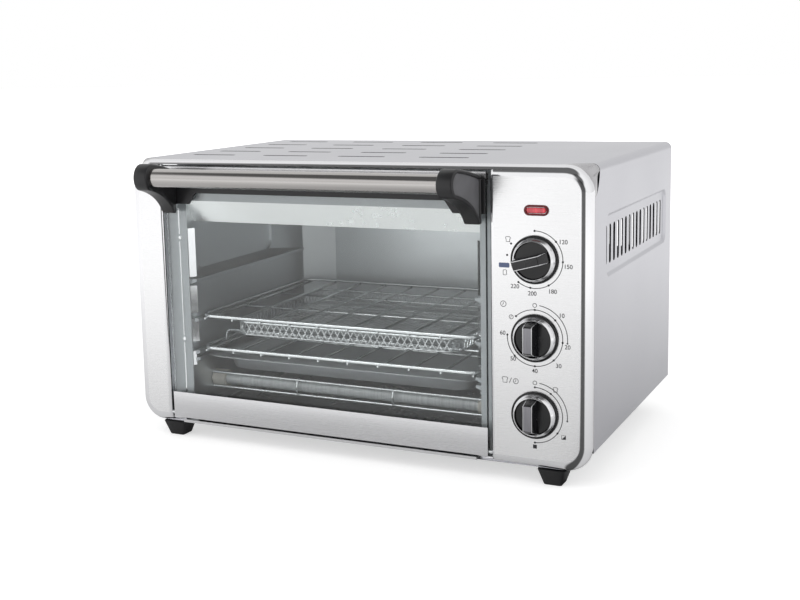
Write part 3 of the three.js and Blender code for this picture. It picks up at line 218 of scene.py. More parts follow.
def finished(mesh, name, material, body, node, smooth):
    """The object of a mesh, smooth up to the given angle, on its body and with its material."""
    mesh.shade_smooth()
    mesh.set_sharp_from_angle(angle=math.radians(smooth))
    mesh.materials.append(material)
    piece = bpy.data.objects.new(name, mesh)
    bpy.context.scene.collection.objects.link(piece)
    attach(piece, body)
    if node:
        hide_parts(node)
    return piece


def face_vectors(mesh, what):
    """One vector for each face of a mesh: its center or its normal."""
    values = np.zeros(len(mesh.polygons) * 3)
    mesh.polygons.foreach_get(what, values)
    return values.reshape(-1, 3)


def second_finish(piece, material, chosen):
    """Gives the chosen faces of a piece, a mask or a place in their list, another material."""
    piece.data.materials.append(material)
    index = np.zeros(len(piece.data.polygons), np.int32)
    index[chosen] = 1
    piece.data.polygons.foreach_set("material_index", index)
    return piece


def repainted(node, material):
    """Gives a CAD piece that stays in the scene its material."""
    materials = frame["nodes"][node].data.materials
    materials.clear()
    materials.append(material)


def bevelled(piece, width):
    """Rounds a piece's edges of more than 40 degrees by a width in millimetres."""
    bevel = piece.modifiers.new("rounded edges", "BEVEL")
    bevel.width, bevel.segments = width * MM, 2
    bevel.limit_method, bevel.angle_limit = "ANGLE", math.radians(40.0)
    bevel.harden_normals = True
    return piece


def dressed_node(node, material, name, edge=0.0):
    """A merged copy of a CAD node, smooth over its curves, with its edges rounded by edge."""
    source = frame["nodes"][node]
    mesh = source.data.copy()
    mesh.name = name
    mesh.materials.clear()
    work = bmesh.new()
    work.from_mesh(mesh)
    bmesh.ops.remove_doubles(work, verts=work.verts, dist=0.002 * MM)
    flat_enough = math.radians(0.4)
    bmesh.ops.dissolve_limit(work, angle_limit=flat_enough, verts=work.verts, edges=work.edges)
    work.to_mesh(mesh)
    work.free()
    piece = finished(mesh, name, material, source["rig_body"], node, 30.0)
    return bevelled(piece, edge) if edge else piece


# Outlines and paths, as arrays of points


def arc(centre, radius, start, end, steps):
    """Points on a circle: centre + radius (cos a, sin a), for steps + 1 angles in degrees."""
    angle = np.radians(np.linspace(start, end, steps + 1))
    return np.asarray(centre) + radius * np.stack([np.cos(angle), np.sin(angle)], -1)


def rounded_rectangle(u0, v0, u1, v1, radius, steps):
    """Four quarter arcs, anticlockwise from the right edge's top corner."""
    radius = max(radius, 1e-3)
    corners = [(u1 - radius, v1 - radius), (u0 + radius, v1 - radius),
               (u0 + radius, v0 + radius), (u1 - radius, v0 + radius)]
    quarters = [arc(c, radius, 90 * k, 90 * k + 90, steps) for k, c in enumerate(corners)]
    return np.concatenate(quarters)


def slot_outline(u, v, size_u, size_v, steps=6):
    """A slot with round ends about its middle (u, v)."""
    half_u, half_v = size_u / 2, size_v / 2
    radius = min(half_u, half_v)
    return rounded_rectangle(u - half_u, v - half_v, u + half_u, v + half_v, radius, steps)


def quarter_turn(count):
    """Evenly spaced angles from 0 to 90 degrees."""
    return np.radians(np.linspace(0, 90, count))


def upright(outline, y):
    """Points (x, z) set in space at depth y."""
    return np.stack([outline[:, 0], np.broadcast_to(y, len(outline)), outline[:, 1]], -1)


def lengths_along(line):
    """The length of a polyline up to each of its points."""
    return np.concatenate([[0], np.cumsum(np.linalg.norm(np.diff(line, axis=0), axis=1))])


def points_at(line, length, place):
    """The points of a polyline that lie the given lengths along it."""
    return np.stack([np.interp(place, length, line[:, k]) for k in (0, 1)], -1)


def inside_distance(u, v, u0, v0, u1, v1, radius):
    """How far a point is inside a rounded rectangle: minus its signed distance."""
    du = np.abs(u - (u0 + u1) / 2) - (u1 - u0) / 2 + radius
    dv = np.abs(v - (v0 + v1) / 2) - (v1 - v0) / 2 + radius
    beyond = np.hypot(np.maximum(du, 0), np.maximum(dv, 0))
    return radius - beyond - np.minimum(np.maximum(du, dv), 0)


def within(points, outline):
    """Even-odd rule for many points against one closed outline."""
    x, y = points[:, None, 0], points[:, None, 1]
    a, b = outline, np.roll(outline, -1, 0)
    crosses = (a[:, 1] > y) != (b[:, 1] > y)
    rise = np.where(b[:, 1] == a[:, 1], 1e-12, b[:, 1] - a[:, 1])
    reach = a[:, 0] + (y - a[:, 1]) * (b[:, 0] - a[:, 0]) / rise
    return (crosses & (x < reach)).sum(1) % 2 == 1


def cut_sheet(outline, holes=(), lines=()):
    """Triangles of a flat sheet with holes. lines are further loops or polylines that the
    triangles keep to, so that a fold or a pressed edge follows them."""
    places, edges, count = [], [], 0
    for loop, closed in [(outline, True), *((hole, True) for hole in holes), *lines]:
        n = len(loop)
        index = np.arange(n) + count
        pairs = np.stack([index, np.roll(index, -1)], -1)
        edges.append(pairs if closed else pairs[:-1])
        places.append(loop)
        count += n
    places = [Vector(place) for place in np.concatenate(places)]
    result = delaunay_2d_cdt(places, np.concatenate(edges).tolist(), [], 0, 1e-5)
    flat = np.array([tuple(v) for v in result[0]])
    faces = np.array([f for f in result[2] if len(f) == 3], int)
    middle = flat[faces].mean(1)
    keep = within(middle, outline)
    for hole in holes:
        keep &= ~within(middle, hole)
    faces = faces[keep]
    a, b, c = (flat[faces[:, k]] for k in range(3))
    area = (b[:, 0] - a[:, 0]) * (c[:, 1] - a[:, 1]) - (b[:, 1] - a[:, 1]) * (c[:, 0] - a[:, 0])
    faces = np.where((area < 0)[:, None], faces[:, ::-1], faces)[np.abs(area) > 1e-9]
    return flat, faces


def boundary(faces):
    """Edges that only one triangle has, in that triangle's direction."""
    pairs = np.concatenate([faces[:, [0, 1]], faces[:, [1, 2]], faces[:, [2, 0]]])
    key = np.sort(pairs, 1)
    _, first, counts = np.unique(key, axis=0, return_index=True, return_counts=True)
    return pairs[first[counts == 1]]


def rounded_path(corners, radius, steps, closed=False):
    """A polyline with each inner corner turned into an arc of the given radius: the arc's centre
    lies on the corner's bisector at radius / sin(half angle)."""
    corners = np.asarray(corners, float)
    count, out = len(corners), []
    for k in range(count):
        if not closed and k in (0, count - 1):
            out.append(corners[k][None])
            continue
        back = corners[k - 1] - corners[k]
        ahead = corners[(k + 1) % count] - corners[k]
        back, ahead = back / np.linalg.norm(back), ahead / np.linalg.norm(ahead)
        between = math.acos(float(np.clip(back @ ahead, -1, 1)))
        middle = (back + ahead) / np.linalg.norm(back + ahead)
        centre = corners[k] + middle * radius / math.sin(between / 2)
        reach = radius / math.tan(between / 2)
        start, end = corners[k] + back * reach - centre, corners[k] + ahead * reach - centre
        sweep = math.pi - between
        share = np.linspace(0, 1, steps + 1)[:, None]
        spoke = (start * np.sin(sweep * (1 - share)) + end * np.sin(sweep * share)) / math.sin(sweep)
        out.append(centre + spoke)
    return np.concatenate(out)


def wire(shape, path, normal, radius, sides, closed=False, tip=True):
    """Round wire along a path in a plane: ring = point + radius (cos a side + sin a normal),
    side = tangent x normal. Open ends are drawn in over a third of the radius."""
    path = np.asarray(path, float)
    if closed:
        tangent = np.roll(path, -1, 0) - np.roll(path, 1, 0)
    else:
        tangent = np.gradient(path, axis=0)
    tangent /= np.linalg.norm(tangent, axis=1, keepdims=True)
    scale = np.full(len(path), float(radius))
    if not closed and tip:
        scale[0] = scale[-1] = radius * 0.6
        first = path[:1] + tangent[:1] * radius * 0.35
        last = path[-1:] - tangent[-1:] * radius * 0.35
        path = np.concatenate([path[:1], first, path[1:-1], last, path[-1:]])
        tangent = np.concatenate([tangent[:1], tangent, tangent[-1:]])
        scale = np.concatenate([scale[:1], [radius], scale[1:-1], [radius], scale[-1:]])
    normal = np.asarray(normal, float)
    side = np.cross(tangent, normal)
    side /= np.linalg.norm(side, axis=1, keepdims=True)
    angle = np.arange(sides)[:, None] / sides * TAU
    spoke = side[:, None] * np.cos(angle) + normal * np.sin(angle)
    rings = path[:, None] + spoke * scale[:, None, None]
    if closed:
        rings = np.concatenate([rings, rings[:1]])
    return shape.grid(rings, around=True, flip=True, ends=not closed)


def turned(shape, profile, centre, axis, sides, closed=False):
    """A profile of (radius, place along the axis) turned round a line along x or y."""
    profile = np.asarray(profile, float)
    angle = np.arange(sides) / sides * TAU
    r, h = profile[:, 0, None], profile[:, 1, None]
    across, up, along = r * np.cos(angle), r * np.sin(angle), h + 0 * angle
    order = [across, along, up] if axis == "y" else [along, across, up]
    points = np.stack(order, -1) + np.asarray(centre, float)
    if closed:
        points = np.concatenate([points, points[:1]])
    return shape.grid(points, around=True, ends=not closed, flip=axis == "y")


def prism(shape, outline, start, end, axis):
    """An outline carried straight along an axis and closed at both ends."""
    outline = np.asarray(outline, float)
    rows = []
    for place in (start, end):
        fixed = np.full(len(outline), float(place))
        u, v = outline.T
        rows.append({"y": (u, fixed, v), "x": (fixed, u, v), "z": (u, v, fixed)}[axis])
    points = np.stack([np.stack(row, -1) for row in rows])
    return shape.grid(points, around=True, ends=True, flip=axis == "y")


# Shader groups


def paint(red, green, blue):
    """A colour written as it looks, turned into the linear value that the shader takes."""
    value = np.array([red, green, blue]) / 255
    linear = np.where(value <= 0.04045, value / 12.92, ((value + 0.055) / 1.055) ** 2.4)
    return (*linear, 1.0)


def skin_group(name, inputs):
    """A shader group that turns a Vector and the given inputs into a Tone, a Height and a
    Roughness: its tree, the values that enter it and the sockets that they leave by."""
    tree = bpy.data.node_groups.new(name, "ShaderNodeTree")
    tree.interface.new_socket("Vector", in_out="INPUT", socket_type="NodeSocketVector")
    for label, kind, default in inputs:
        socket = tree.interface.new_socket(label, in_out="INPUT", socket_type=kind)
        socket.default_value = default
    for label in ("Tone", "Height", "Roughness"):
        tree.interface.new_socket(label, in_out="OUTPUT", socket_type="NodeSocketFloat")
    return tree, tree.nodes.new("NodeGroupInput").outputs, tree.nodes.new("NodeGroupOutput").inputs


def put(tree, socket, value):
    """Links another node's output to a socket, or writes a plain value on it."""
    if hasattr(value, "links"):
        tree.links.new(value, socket)
    else:
        socket.default_value = value


def feed(tree, sockets, *values, **named):
    """Puts values on sockets in their order, or by their names with _ for a space."""
    for socket, value in zip(sockets, values):
        put(tree, socket, value)
    for name, value in named.items():
        put(tree, sockets[name.replace("_", " ")], value)


def math_node(tree, operation, a, b=0.0, clamp=False):
    node = tree.nodes.new("ShaderNodeMath")
    node.operation, node.use_clamp = operation, clamp
    feed(tree, node.inputs, a, b)
    return node.outputs[0]


def vector_node(tree, operation, *values):
    """Vector maths: a number for a length or a dot product, and otherwise a vector."""
    node = tree.nodes.new("ShaderNodeVectorMath")
    node.operation = operation
    feed(tree, node.inputs, *values)
    return node.outputs["Value" if operation in ("LENGTH", "DOT_PRODUCT") else "Vector"]


def mixed(tree, share, first, second):
    """Two shaders mixed by the second one's share."""
    node = tree.nodes.new("ShaderNodeMixShader")
    feed(tree, node.inputs, share, first, second)
    return node.outputs[0]


def span(tree, value, low, high, new_low, new_high):
    """Maps low to new_low and high to new_high evenly, and holds those values beyond them."""
    node = tree.nodes.new("ShaderNodeMapRange")
    feed(tree, node.inputs, value, low, high, new_low, new_high)
    return node.outputs["Result"]


def noise(tree, vector, scale, detail=2.0, roughness=0.5):
    node = tree.nodes.new("ShaderNodeTexNoise")
    feed(tree, node.inputs, Vector=vector, Scale=scale, Detail=detail, Roughness=roughness)
    return node.outputs["Fac"]


def swing(tree, value, width):
    """How far a noise pushes a value up or down: (noise - 0.5) x width."""
    return math_node(tree, "MULTIPLY", math_node(tree, "SUBTRACT", value, 0.5), width)


def coordinates(tree, kind="Object"):
    return tree.nodes.new("ShaderNodeTexCoord").outputs[kind]


def brushing_group():
    """Fine parallel scratches: noise squeezed across the brushing, over broad clouds. Grain is the
    noise's scale along each axis. Tone is 1 with dips of the given strength, Height feeds a bump
    and Roughness is the given one, pushed up and down by the scratches and the clouds."""
    tree, given, leave = skin_group("brushing", [
        ("Grain", "NodeSocketVector", (40.0, 40.0, 3000.0)),
        ("Strength", "NodeSocketFloat", 0.1),
        ("Roughness", "NodeSocketFloat", 0.3),
    ])
    squeezed = vector_node(tree, "MULTIPLY", given["Vector"], given["Grain"])
    fine = noise(tree, squeezed, 1.0, 4.0, 0.7)
    clouds = noise(tree, given["Vector"], 9.0)
    change = math_node(tree, "ADD", swing(tree, fine, 0.18), swing(tree, clouds, 0.12))
    tone = span(tree, fine, 0.3, 0.7, math_node(tree, "SUBTRACT", 1.0, given["Strength"]), 1.0)
    rough = math_node(tree, "ADD", given["Roughness"], change, True)
    feed(tree, leave, Tone=tone, Height=fine, Roughness=rough)
    return tree


def moulding_group():
    """Moulded plastic: a fine even grain for the bump, and broad, faint changes of tone and gloss."""
    tree, given, leave = skin_group("moulded grain", [
        ("Grain", "NodeSocketFloat", 1800.0),
        ("Roughness", "NodeSocketFloat", 0.4),
    ])
    grain = noise(tree, given["Vector"], given["Grain"], 3.0)
    broad = noise(tree, given["Vector"], 60.0, 3.0)
    tone = span(tree, broad, 0.3, 0.7, 0.82, 1.12)
    rough = math_node(tree, "ADD", given["Roughness"], swing(tree, broad, 0.25), True)
    feed(tree, leave, Tone=tone, Height=grain, Roughness=rough)
    return tree


BRUSHING = brushing_group()
MOULDING = moulding_group()


# Materials


def new_material(name, colour, **sockets):
    """A material with plain values on its shader. Gives the material, its tree and the shader."""
    material = bpy.data.materials.new(name)
    material.use_nodes = True
    shader = material.node_tree.nodes["Principled BSDF"]
    feed(material.node_tree, shader.inputs, Base_Color=colour, **sockets)
    return material, material.node_tree, shader


def tinted(tree, shader, colour, factor):
    """Base Color = colour x factor."""
    mix = tree.nodes.new("ShaderNodeMix")
    mix.data_type, mix.blend_type = "RGBA", "MULTIPLY"
    feed(tree, mix.inputs, Factor=1.0, A=colour, B=factor)
    feed(tree, shader.inputs, Base_Color=mix.outputs["Result"])


def bumped(tree, shader, height, strength, millimetres):
    """A bump on the shader's Normal, as deep as the given millimetres where height is 1."""
    bump = tree.nodes.new("ShaderNodeBump")
    feed(tree, bump.inputs, Strength=strength, Distance=millimetres * MM, Height=height)
    feed(tree, shader.inputs, Normal=bump.outputs["Normal"])


def grained(name, colour, source, bump, bump_depth, metallic, **values):
    """A material whose tone, roughness and bump all come from one shader group."""
    material, tree, shader = new_material(name, colour, Metallic=metallic)
    node = tree.nodes.new("ShaderNodeGroup")
    node.node_tree = source
    feed(tree, node.inputs, Vector=coordinates(tree), **values)
    tinted(tree, shader, colour, node.outputs["Tone"])
    feed(tree, shader.inputs, Roughness=node.outputs["Roughness"])
    bumped(tree, shader, node.outputs["Height"], bump, bump_depth)
    return material


def brushed_metal(name, colour, grain, strength, roughness, bump, metallic=1.0):
    return grained(name, colour, BRUSHING, bump, 0.05, metallic,
                   Grain=grain, Strength=strength, Roughness=roughness)


def moulded_plastic(name, colour, grain, roughness, bump=0.2):
    return grained(name, colour, MOULDING, bump, 0.08, 0.0, Grain=grain, Roughness=roughness)


def all_ways(scale):
    """A grain without a direction, for a surface that isn't brushed."""
    return (scale, scale, scale)


def clear_glass(name, colour):
    """Clear float glass with a faint, uneven haze."""
    material, tree, shader = new_material(name, colour, IOR=1.45, Transmission_Weight=1.0)
    haze = noise(tree, coordinates(tree), 30.0, 3.0)
    feed(tree, shader.inputs, Roughness=span(tree, haze, 0.3, 0.8, 0.0, 0.02))
    return material


ACROSS = (25.0, 25.0, 3200.0)
PANEL_STEEL = brushed_metal("panel steel", paint(244, 244, 245), ACROSS, 0.035, 0.27, 0.03)
POLISHED = brushed_metal("polished steel", paint(236, 236, 238), all_ways(300.0), 0.02, 0.1, 0.0)
# A darker copy of the polished steel for the frame's corner skin: painted shade in the crease between
# frame and cover.
SHADED_CORNER_STEEL = brushed_metal("corner steel painted shade", paint(188, 187, 189), all_ways(300.0), 0.02, 0.3, 0.0)
COVER_STEEL = brushed_metal("cover steel", paint(197, 197, 202), (2600.0, 18.0, 2600.0), 0.03, 0.33, 0.02)
DOOR_STEEL = brushed_metal("door steel", paint(226, 226, 228), ACROSS, 0.07, 0.27, 0.04)
# Near-black steel for the cover's cut edges: painted shade of its slots and of the gap at its front edge.
SHADED_CUT_EDGE = brushed_metal("cut edge painted shade", paint(44, 44, 48), all_ways(300.0), 0.1, 0.4, 0.02)
TUBE_STEEL = brushed_metal("handle steel", paint(190, 187, 185), (12.0, 2600.0, 2600.0), 0.1, 0.13, 0.04)
GALVANISED = brushed_metal("galvanised steel", paint(176, 180, 181), all_ways(70.0), 0.16, 0.42, 0.05)
LINER = brushed_metal("liner steel", paint(215, 219, 221), all_ways(90.0), 0.04, 0.36, 0.0)
# Darker and brighter copies of the liner steel for the front lips and the lintel: painted shade and
# painted highlight.
SHADED_LIP_STEEL = brushed_metal("liner lip steel painted shade", paint(180, 185, 188), all_ways(90.0), 0.03, 0.4, 0.0, 0.3)
LIT_LINTEL_STEEL = brushed_metal("lintel steel painted highlight", paint(253, 255, 254), all_ways(90.0), 0.02, 0.3, 0.0)
CHROME = brushed_metal("chrome", paint(232, 232, 234), all_ways(500.0), 0.03, 0.07, 0.01)
RACK_WIRE = brushed_metal("plated wire", paint(226, 229, 230), all_ways(900.0), 0.05, 0.24, 0.0)
TRAY_STEEL = brushed_metal("tray steel", paint(214, 216, 217), (900.0, 40.0, 900.0), 0.05, 0.4, 0.02)
BLACK = moulded_plastic("black moulding", paint(30, 30, 32), 1500.0, 0.38)
GLOSS_BLACK = moulded_plastic("glossy black moulding", paint(22, 22, 24), 900.0, 0.22, 0.05)
INSET_GREY = moulded_plastic("grey moulding", paint(96, 96, 99), 1200.0, 0.42)
GRIP_STEEL = brushed_metal("grip inlay", paint(150, 149, 154), (1600.0, 1600.0, 25.0), 0.2, 0.3, 0.05)
# A dark copy of the grip inlay for the turned knob: painted shade.
SHADED_GRIP_INLAY = moulded_plastic("grip inlay painted shade", paint(34, 34, 36), 1200.0, 0.3, 0.05)
RUBBER = moulded_plastic("foot rubber", paint(26, 26, 28), 1200.0, 0.6, 0.3)
PRINT = moulded_plastic("printed black", paint(38, 38, 42), 4000.0, 0.5, 0.02)
PRINT_BLUE = moulded_plastic("printed grey blue", paint(96, 108, 140), 4000.0, 0.5, 0.02)
CERAMIC = moulded_plastic("ceramic", paint(222, 219, 210), 1500.0, 0.62, 0.3)
DARK_RED = moulded_plastic("dark red moulding", paint(96, 14, 20), 2000.0, 0.25, 0.05)
GLASS = clear_glass("door glass", paint(249, 251, 251))


def lens_material():
    """Red plastic with fine upright ripples under a glossy skin."""
    material, tree, shader = new_material(
        "lamp lens", paint(226, 60, 74), Roughness=0.12, Coat_Weight=0.6)
    squeezed = vector_node(tree, "MULTIPLY", coordinates(tree), (420.0, 1.0, 60.0))
    ripple = noise(tree, squeezed, 1.0, 1.0)
    tinted(tree, shader, paint(232, 78, 90), span(tree, ripple, 0.35, 0.65, 0.7, 1.15))
    bumped(tree, shader, ripple, 0.3, 0.4)
    return material


def quartz_material():
    """Milky quartz with its wire's turns showing faintly across it, under a glossy skin."""
    material, tree, shader = new_material(
        "quartz", paint(186, 190, 191), Roughness=0.28, Coat_Weight=0.8, Coat_Roughness=0.08)
    squeezed = vector_node(tree, "MULTIPLY", coordinates(tree), (620.0, 12.0, 12.0))
    turns = noise(tree, squeezed, 1.0, 1.0)
    tinted(tree, shader, paint(214, 218, 219), span(tree, turns, 0.3, 0.7, 0.88, 1.06))
    return material


LENS = lens_material()
QUARTZ = quartz_material()


# Front frame: one pressed skin


def frame_outline(inset):
    """The frame's rounded rectangle, drawn in by inset."""
    side, radius = HALF_WIDTH - inset, max(CORNER_RADIUS - inset, 0.5)
    return rounded_rectangle(-side, FRAME_BOTTOM + inset, side, TOP - inset, radius, 20)


def frame_distance(x, z):
    """How far a point of the front lies inside the frame's outline."""
    return inside_distance(x, z, -HALF_WIDTH, FRAME_BOTTOM, HALF_WIDTH, TOP, CORNER_RADIUS)


def opening_outline():
    """The door opening, with the crumb tray's notch in its bottom edge."""
    x0, z0, x1, z1 = OPENING
    n0, nz, n1 = CRUMB_NOTCH
    notch = [(n0, z0), (n0, nz), (n1, nz), (n1, z0)]
    return np.array([(x0, z0), *notch, (x1, z0), (x1, z1), (x0, z1)])


def round_drop(distance, radius):
    """A quarter circle down at an edge: R (1 - sqrt(1 - (1 - d / R)^2)) at distance d from it."""
    share = np.clip(1 - distance / radius, 0, 1)
    return radius * (1 - np.sqrt(np.maximum(1 - share ** 2, 0)))


def front_depth(x, z):
    """How far the pressed skin lies behind the front plane: the bullnose's quarter circle along the
    outer edge, and a smaller one where the skin folds into the door opening at its sides."""
    x0, _, x1, _ = OPENING
    beside = np.maximum(x0 - x, x - x1)
    fold = np.where(beside > -0.01, round_drop(beside, OPENING_FOLD), OPENING_FOLD)
    return round_drop(frame_distance(x, z), BULLNOSE) + fold


def make_front_frame():
    """The pressed skin, whose triangles keep to the bullnose and the folds; the walls behind its
    opening's edges; and the flange behind its outer edge, as (inset, depth)."""
    insets = [*BULLNOSE * (1 - np.sin(np.radians(np.linspace(90, 0, 14)))), BULLNOSE + 0.4][1:]
    loops = [(frame_outline(inset), True) for inset in insets]
    x0, _, x1, _ = OPENING
    folds = OPENING_FOLD * (1 - np.sin(np.radians(np.linspace(80, 0, 7))))
    for side, x in ((-1, x0), (1, x1)):
        for e in [*folds, OPENING_FOLD + 0.4]:
            line = [(x + side * e, FRAME_BOTTOM + 4.0), (x + side * e, TOP - 4.0)]
            loops.append((np.array(line), False))
    flat, faces = cut_sheet(frame_outline(0.0), [opening_outline()], loops)
    points = upright(flat, front_depth(*flat.T))
    shape = Shape().add(points, faces)
    edge = boundary(faces)
    near = points[edge][frame_distance(*flat[edge].mean(1).T) > 0.2]
    far = near.copy()
    far[..., 1] = np.maximum(near[..., 1], 8.0)
    quads = np.concatenate([near[:, ::-1], far], 1)
    shape.add(quads, np.arange(4 * len(quads)).reshape(-1, 4))
    flange = [(0.0, BULLNOSE), (0.0, SKIN_BACK), (1.3, SKIN_BACK),
              (1.3, 24.0), (2.3, 24.0), (2.3, 9.0)]
    shape.grid(np.array([upright(frame_outline(inset), y) for inset, y in flange]), around=True)
    piece = shape.made(
        "front_frame_skin", PANEL_STEEL, "oven", "front_frame", "polished_steel", 42, weld=0.01)
    x, _, z = ((face_vectors(piece.data, "center") - FRONT) / MM).T
    fold = (x > x0 - OPENING_FOLD) & (x < x1 + OPENING_FOLD)
    return second_finish(piece, POLISHED, fold | (frame_distance(x, z) < BULLNOSE))


def corner_curve(radius, steps=40):
    """Points (x, z) of a right-hand top corner, evenly spaced along it, from the side at the
    blend's foot up round the corner to the blend's inner end on the top."""
    foot, end = (HALF_WIDTH, TOP - BLEND[2]), (HALF_WIDTH - BLEND[0], TOP)
    turn = arc((HALF_WIDTH - radius, TOP - radius), radius, 0, 90, 24)
    line = np.concatenate([[foot], turn, [end]])
    length = lengths_along(line)
    return points_at(line, length, np.linspace(0, length[-1], steps + 1))


def blend_depth(x, z):
    """Where the ellipsoid round the corner crosses the cover at (x, z): y of its rear surface."""
    a, b, c = BLEND
    share = 1 - ((x - HALF_WIDTH) / a) ** 2 - ((z - TOP) / c) ** 2
    return SKIN_BACK + b * np.sqrt(np.maximum(share, 0))


def corner_drop(z):
    """0 at the fold and 1 at the blend's foot, down the side."""
    return np.clip((TOP - COVER_EDGE - z) / (BLEND[2] - COVER_EDGE), 0, 1)


def make_corner(side):
    """Skin between the frame's round corner and the cover's tighter edge: each point of the front
    curve runs back to its partner on the cover, and x and z ease over by 3 s^2 - 2 s^3. The skin is
    a darker copy of the polished steel, painted shade in the crease. A lip is turned in at its rear,
    and a black skin, painted shade of the gap, runs back from that lip under the cover."""
    front, rear = corner_curve(CORNER_RADIUS), corner_curve(COVER_EDGE)
    depth = blend_depth(*rear.T)
    drop = corner_drop(rear[:, 1])
    depth = SKIN_BACK + (depth - SKIN_BACK) * (1 - CORNER_TUCK * np.sin(np.pi * np.sqrt(drop)))
    s = np.linspace(0, 1, 15)[:, None]
    ease = (3 * s ** 2 - 2 * s ** 3)[..., None]
    across = front * (1 - ease) + rear * ease
    y = SKIN_BACK * (1 - s) + depth * s
    points = np.stack([side * across[..., 0], y, across[..., 1]], -1)
    lip = points[-1] - np.array([side * 0.9, 0, 0.9])
    corner = np.concatenate([points, lip[None]])
    # A black skin back from the lip under the cover: painted shade of the gap.
    shade_skin = np.stack([lip, lip + np.array([0, 12.0, 0])])
    word = "left" if side < 0 else "right"
    # The corner skin takes the darker copy of the polished steel, painted shade.
    pieces = (("frame_corner", corner, SHADED_CORNER_STEEL), ("corner_painted_shade", shade_skin, BLACK))
    for name, rows, material in pieces:
        Shape().grid(rows, flip=side > 0).made(
            f"{name}_{word}", material, "oven", None, "polished_steel", 50, outwards=False)


# Cover: one perforated sheet, folded over


FOLD = COVER_EDGE * math.pi / 2
WALL = TOP - COVER_EDGE - COVER_BOTTOM
ROOF = 2 * (HALF_WIDTH - COVER_EDGE)
RIGHT_WALL = WALL + 2 * FOLD + ROOF
UNFOLDED = 2 * WALL + 2 * FOLD + ROOF


def fold_cover(s, y):
    """From the flat pattern to the folded sheet: s runs up the left wall, round a quarter circle,
    over the roof, round the other and down the right wall. There the recess is pressed in by its
    depth x (3 t^2 - 2 t^3), where t runs from 0 to 1 across the recess's soft edge."""
    x, z = np.full_like(s, -HALF_WIDTH), COVER_BOTTOM + s
    a = (s - WALL) / COVER_EDGE
    left = (s > WALL) & (s <= WALL + FOLD)
    x = np.where(left, -HALF_WIDTH + COVER_EDGE * (1 - np.cos(a)), x)
    z = np.where(left, TOP - COVER_EDGE + COVER_EDGE * np.sin(a), z)
    roof = (s > WALL + FOLD) & (s <= WALL + FOLD + ROOF)
    x = np.where(roof, -HALF_WIDTH + COVER_EDGE + s - WALL - FOLD, x)
    z = np.where(roof, TOP, z)
    b = (s - WALL - FOLD - ROOF) / COVER_EDGE
    right = (b > 0) & (s <= RIGHT_WALL)
    x = np.where(right, HALF_WIDTH - COVER_EDGE + COVER_EDGE * np.sin(b), x)
    z = np.where(right, TOP - COVER_EDGE * (1 - np.cos(b)), z)
    down = s > RIGHT_WALL
    x = np.where(down, HALF_WIDTH, x)
    z = np.where(down, TOP - COVER_EDGE - (s - WALL - 2 * FOLD - ROOF), z)
    press = inside_distance(y, z, *RECESS, RECESS_RADIUS)
    t = np.clip((press + 0.4) / 3.4, 0, 1)
    x = x - np.where(down, RECESS_DEPTH * t ** 2 * (3 - 2 * t), 0)
    return np.stack([x, y, z], -1)


def flat_of_right(z):
    """Place along the unfolded sheet of height z on the right wall."""
    return RIGHT_WALL + (TOP - COVER_EDGE - z)


def make_cover():
    """The cover, cut flat with its vents, its front edge cut back round the frame's corners, and
    with lines for its folds and for the recess's pressed edge, then folded."""
    rear = corner_curve(COVER_EDGE, 48)
    length = lengths_along(rear)
    depth = blend_depth(*rear.T) + CORNER_GAP * np.sin(np.pi * length / length[-1])
    first = flat_of_right(TOP - BLEND[2])
    right = np.stack([first - length, np.maximum(depth, COVER_FRONT)], -1)
    left = right[::-1] * np.array([-1, 1]) + np.array([UNFOLDED, 0])
    outline = np.concatenate([
        [(UNFOLDED, COVER_BACK), (0, COVER_BACK), (0, COVER_FRONT)],
        left[::-1], right[::-1], [(UNFOLDED, COVER_FRONT)],
    ])
    middle = WALL + FOLD + HALF_WIDTH - COVER_EDGE
    holes = [slot_outline(middle + x, y, *TOP_SLOT) for x, y in TOP_SLOTS]
    holes += [slot_outline(flat_of_right(z), y, *SIDE_SLOT) for y, z in SIDE_SLOTS]
    lines = []
    for start in (WALL, WALL + FOLD + ROOF):
        for s in [start - 0.5, *np.linspace(start, start + FOLD, 9), start + FOLD + 0.5]:
            lines.append((np.array([(s, 0.0), (s, COVER_BACK + 1)]), False))
    y0, z0, y1, z1 = RECESS
    low, high = flat_of_right(z1), flat_of_right(z0)
    for out in RECESS_RINGS:
        box = (low - out, y0 - out, high + out, y1 + out)
        lines.append((rounded_rectangle(*box, RECESS_RADIUS + out, 10), True))
    flat, faces = cut_sheet(outline, holes, lines)
    shape, walls = sheet_shell(fold_cover(*flat.T), faces, SHEET)
    piece = shape.made(
        "cover_sheet", COVER_STEEL, "oven", "wrap_cover", "cover_steel", 40, outwards=False)
    # The walls along the sheet's cut edges take the near-black steel, painted shade.
    count = len(piece.data.polygons)
    return second_finish(piece, SHADED_CUT_EDGE, np.arange(count) >= count - walls)


make_front_frame()
for side in (-1, 1):
    make_corner(side)
make_cover()


# Back panel


def make_back_panel():
    """The rear sheet with its upright vents and the cord gland's hole."""
    outline = rounded_rectangle(-213.7, 30.3, 213.7, 253.7, 1.0, 2)
    holes = [slot_outline(x, z, *BACK_SLOT) for x, z in BACK_SLOTS]
    holes.append(arc(GLAND, 8.3, 0, 352.5, 47))
    flat, faces = cut_sheet(outline, holes)
    return sheet_shell(upright(flat, COVER_BACK - 0.3), faces[:, ::-1], SHEET)[0].made(
        "back_sheet", GALVANISED, "oven", "back_panel", "galvanised_steel", 30, outwards=False)


make_back_panel()


# Door


def channel(name, corners, radius, node):
    """A folded strip: an outline (y, z) with rounded folds, carried along the door."""
    outline = rounded_path(corners, radius, 3, closed=True)
    return prism(Shape(), outline, DOOR[0], DOOR[2], "x").made(
        name, DOOR_STEEL, "door", node, "door_steel", 50)


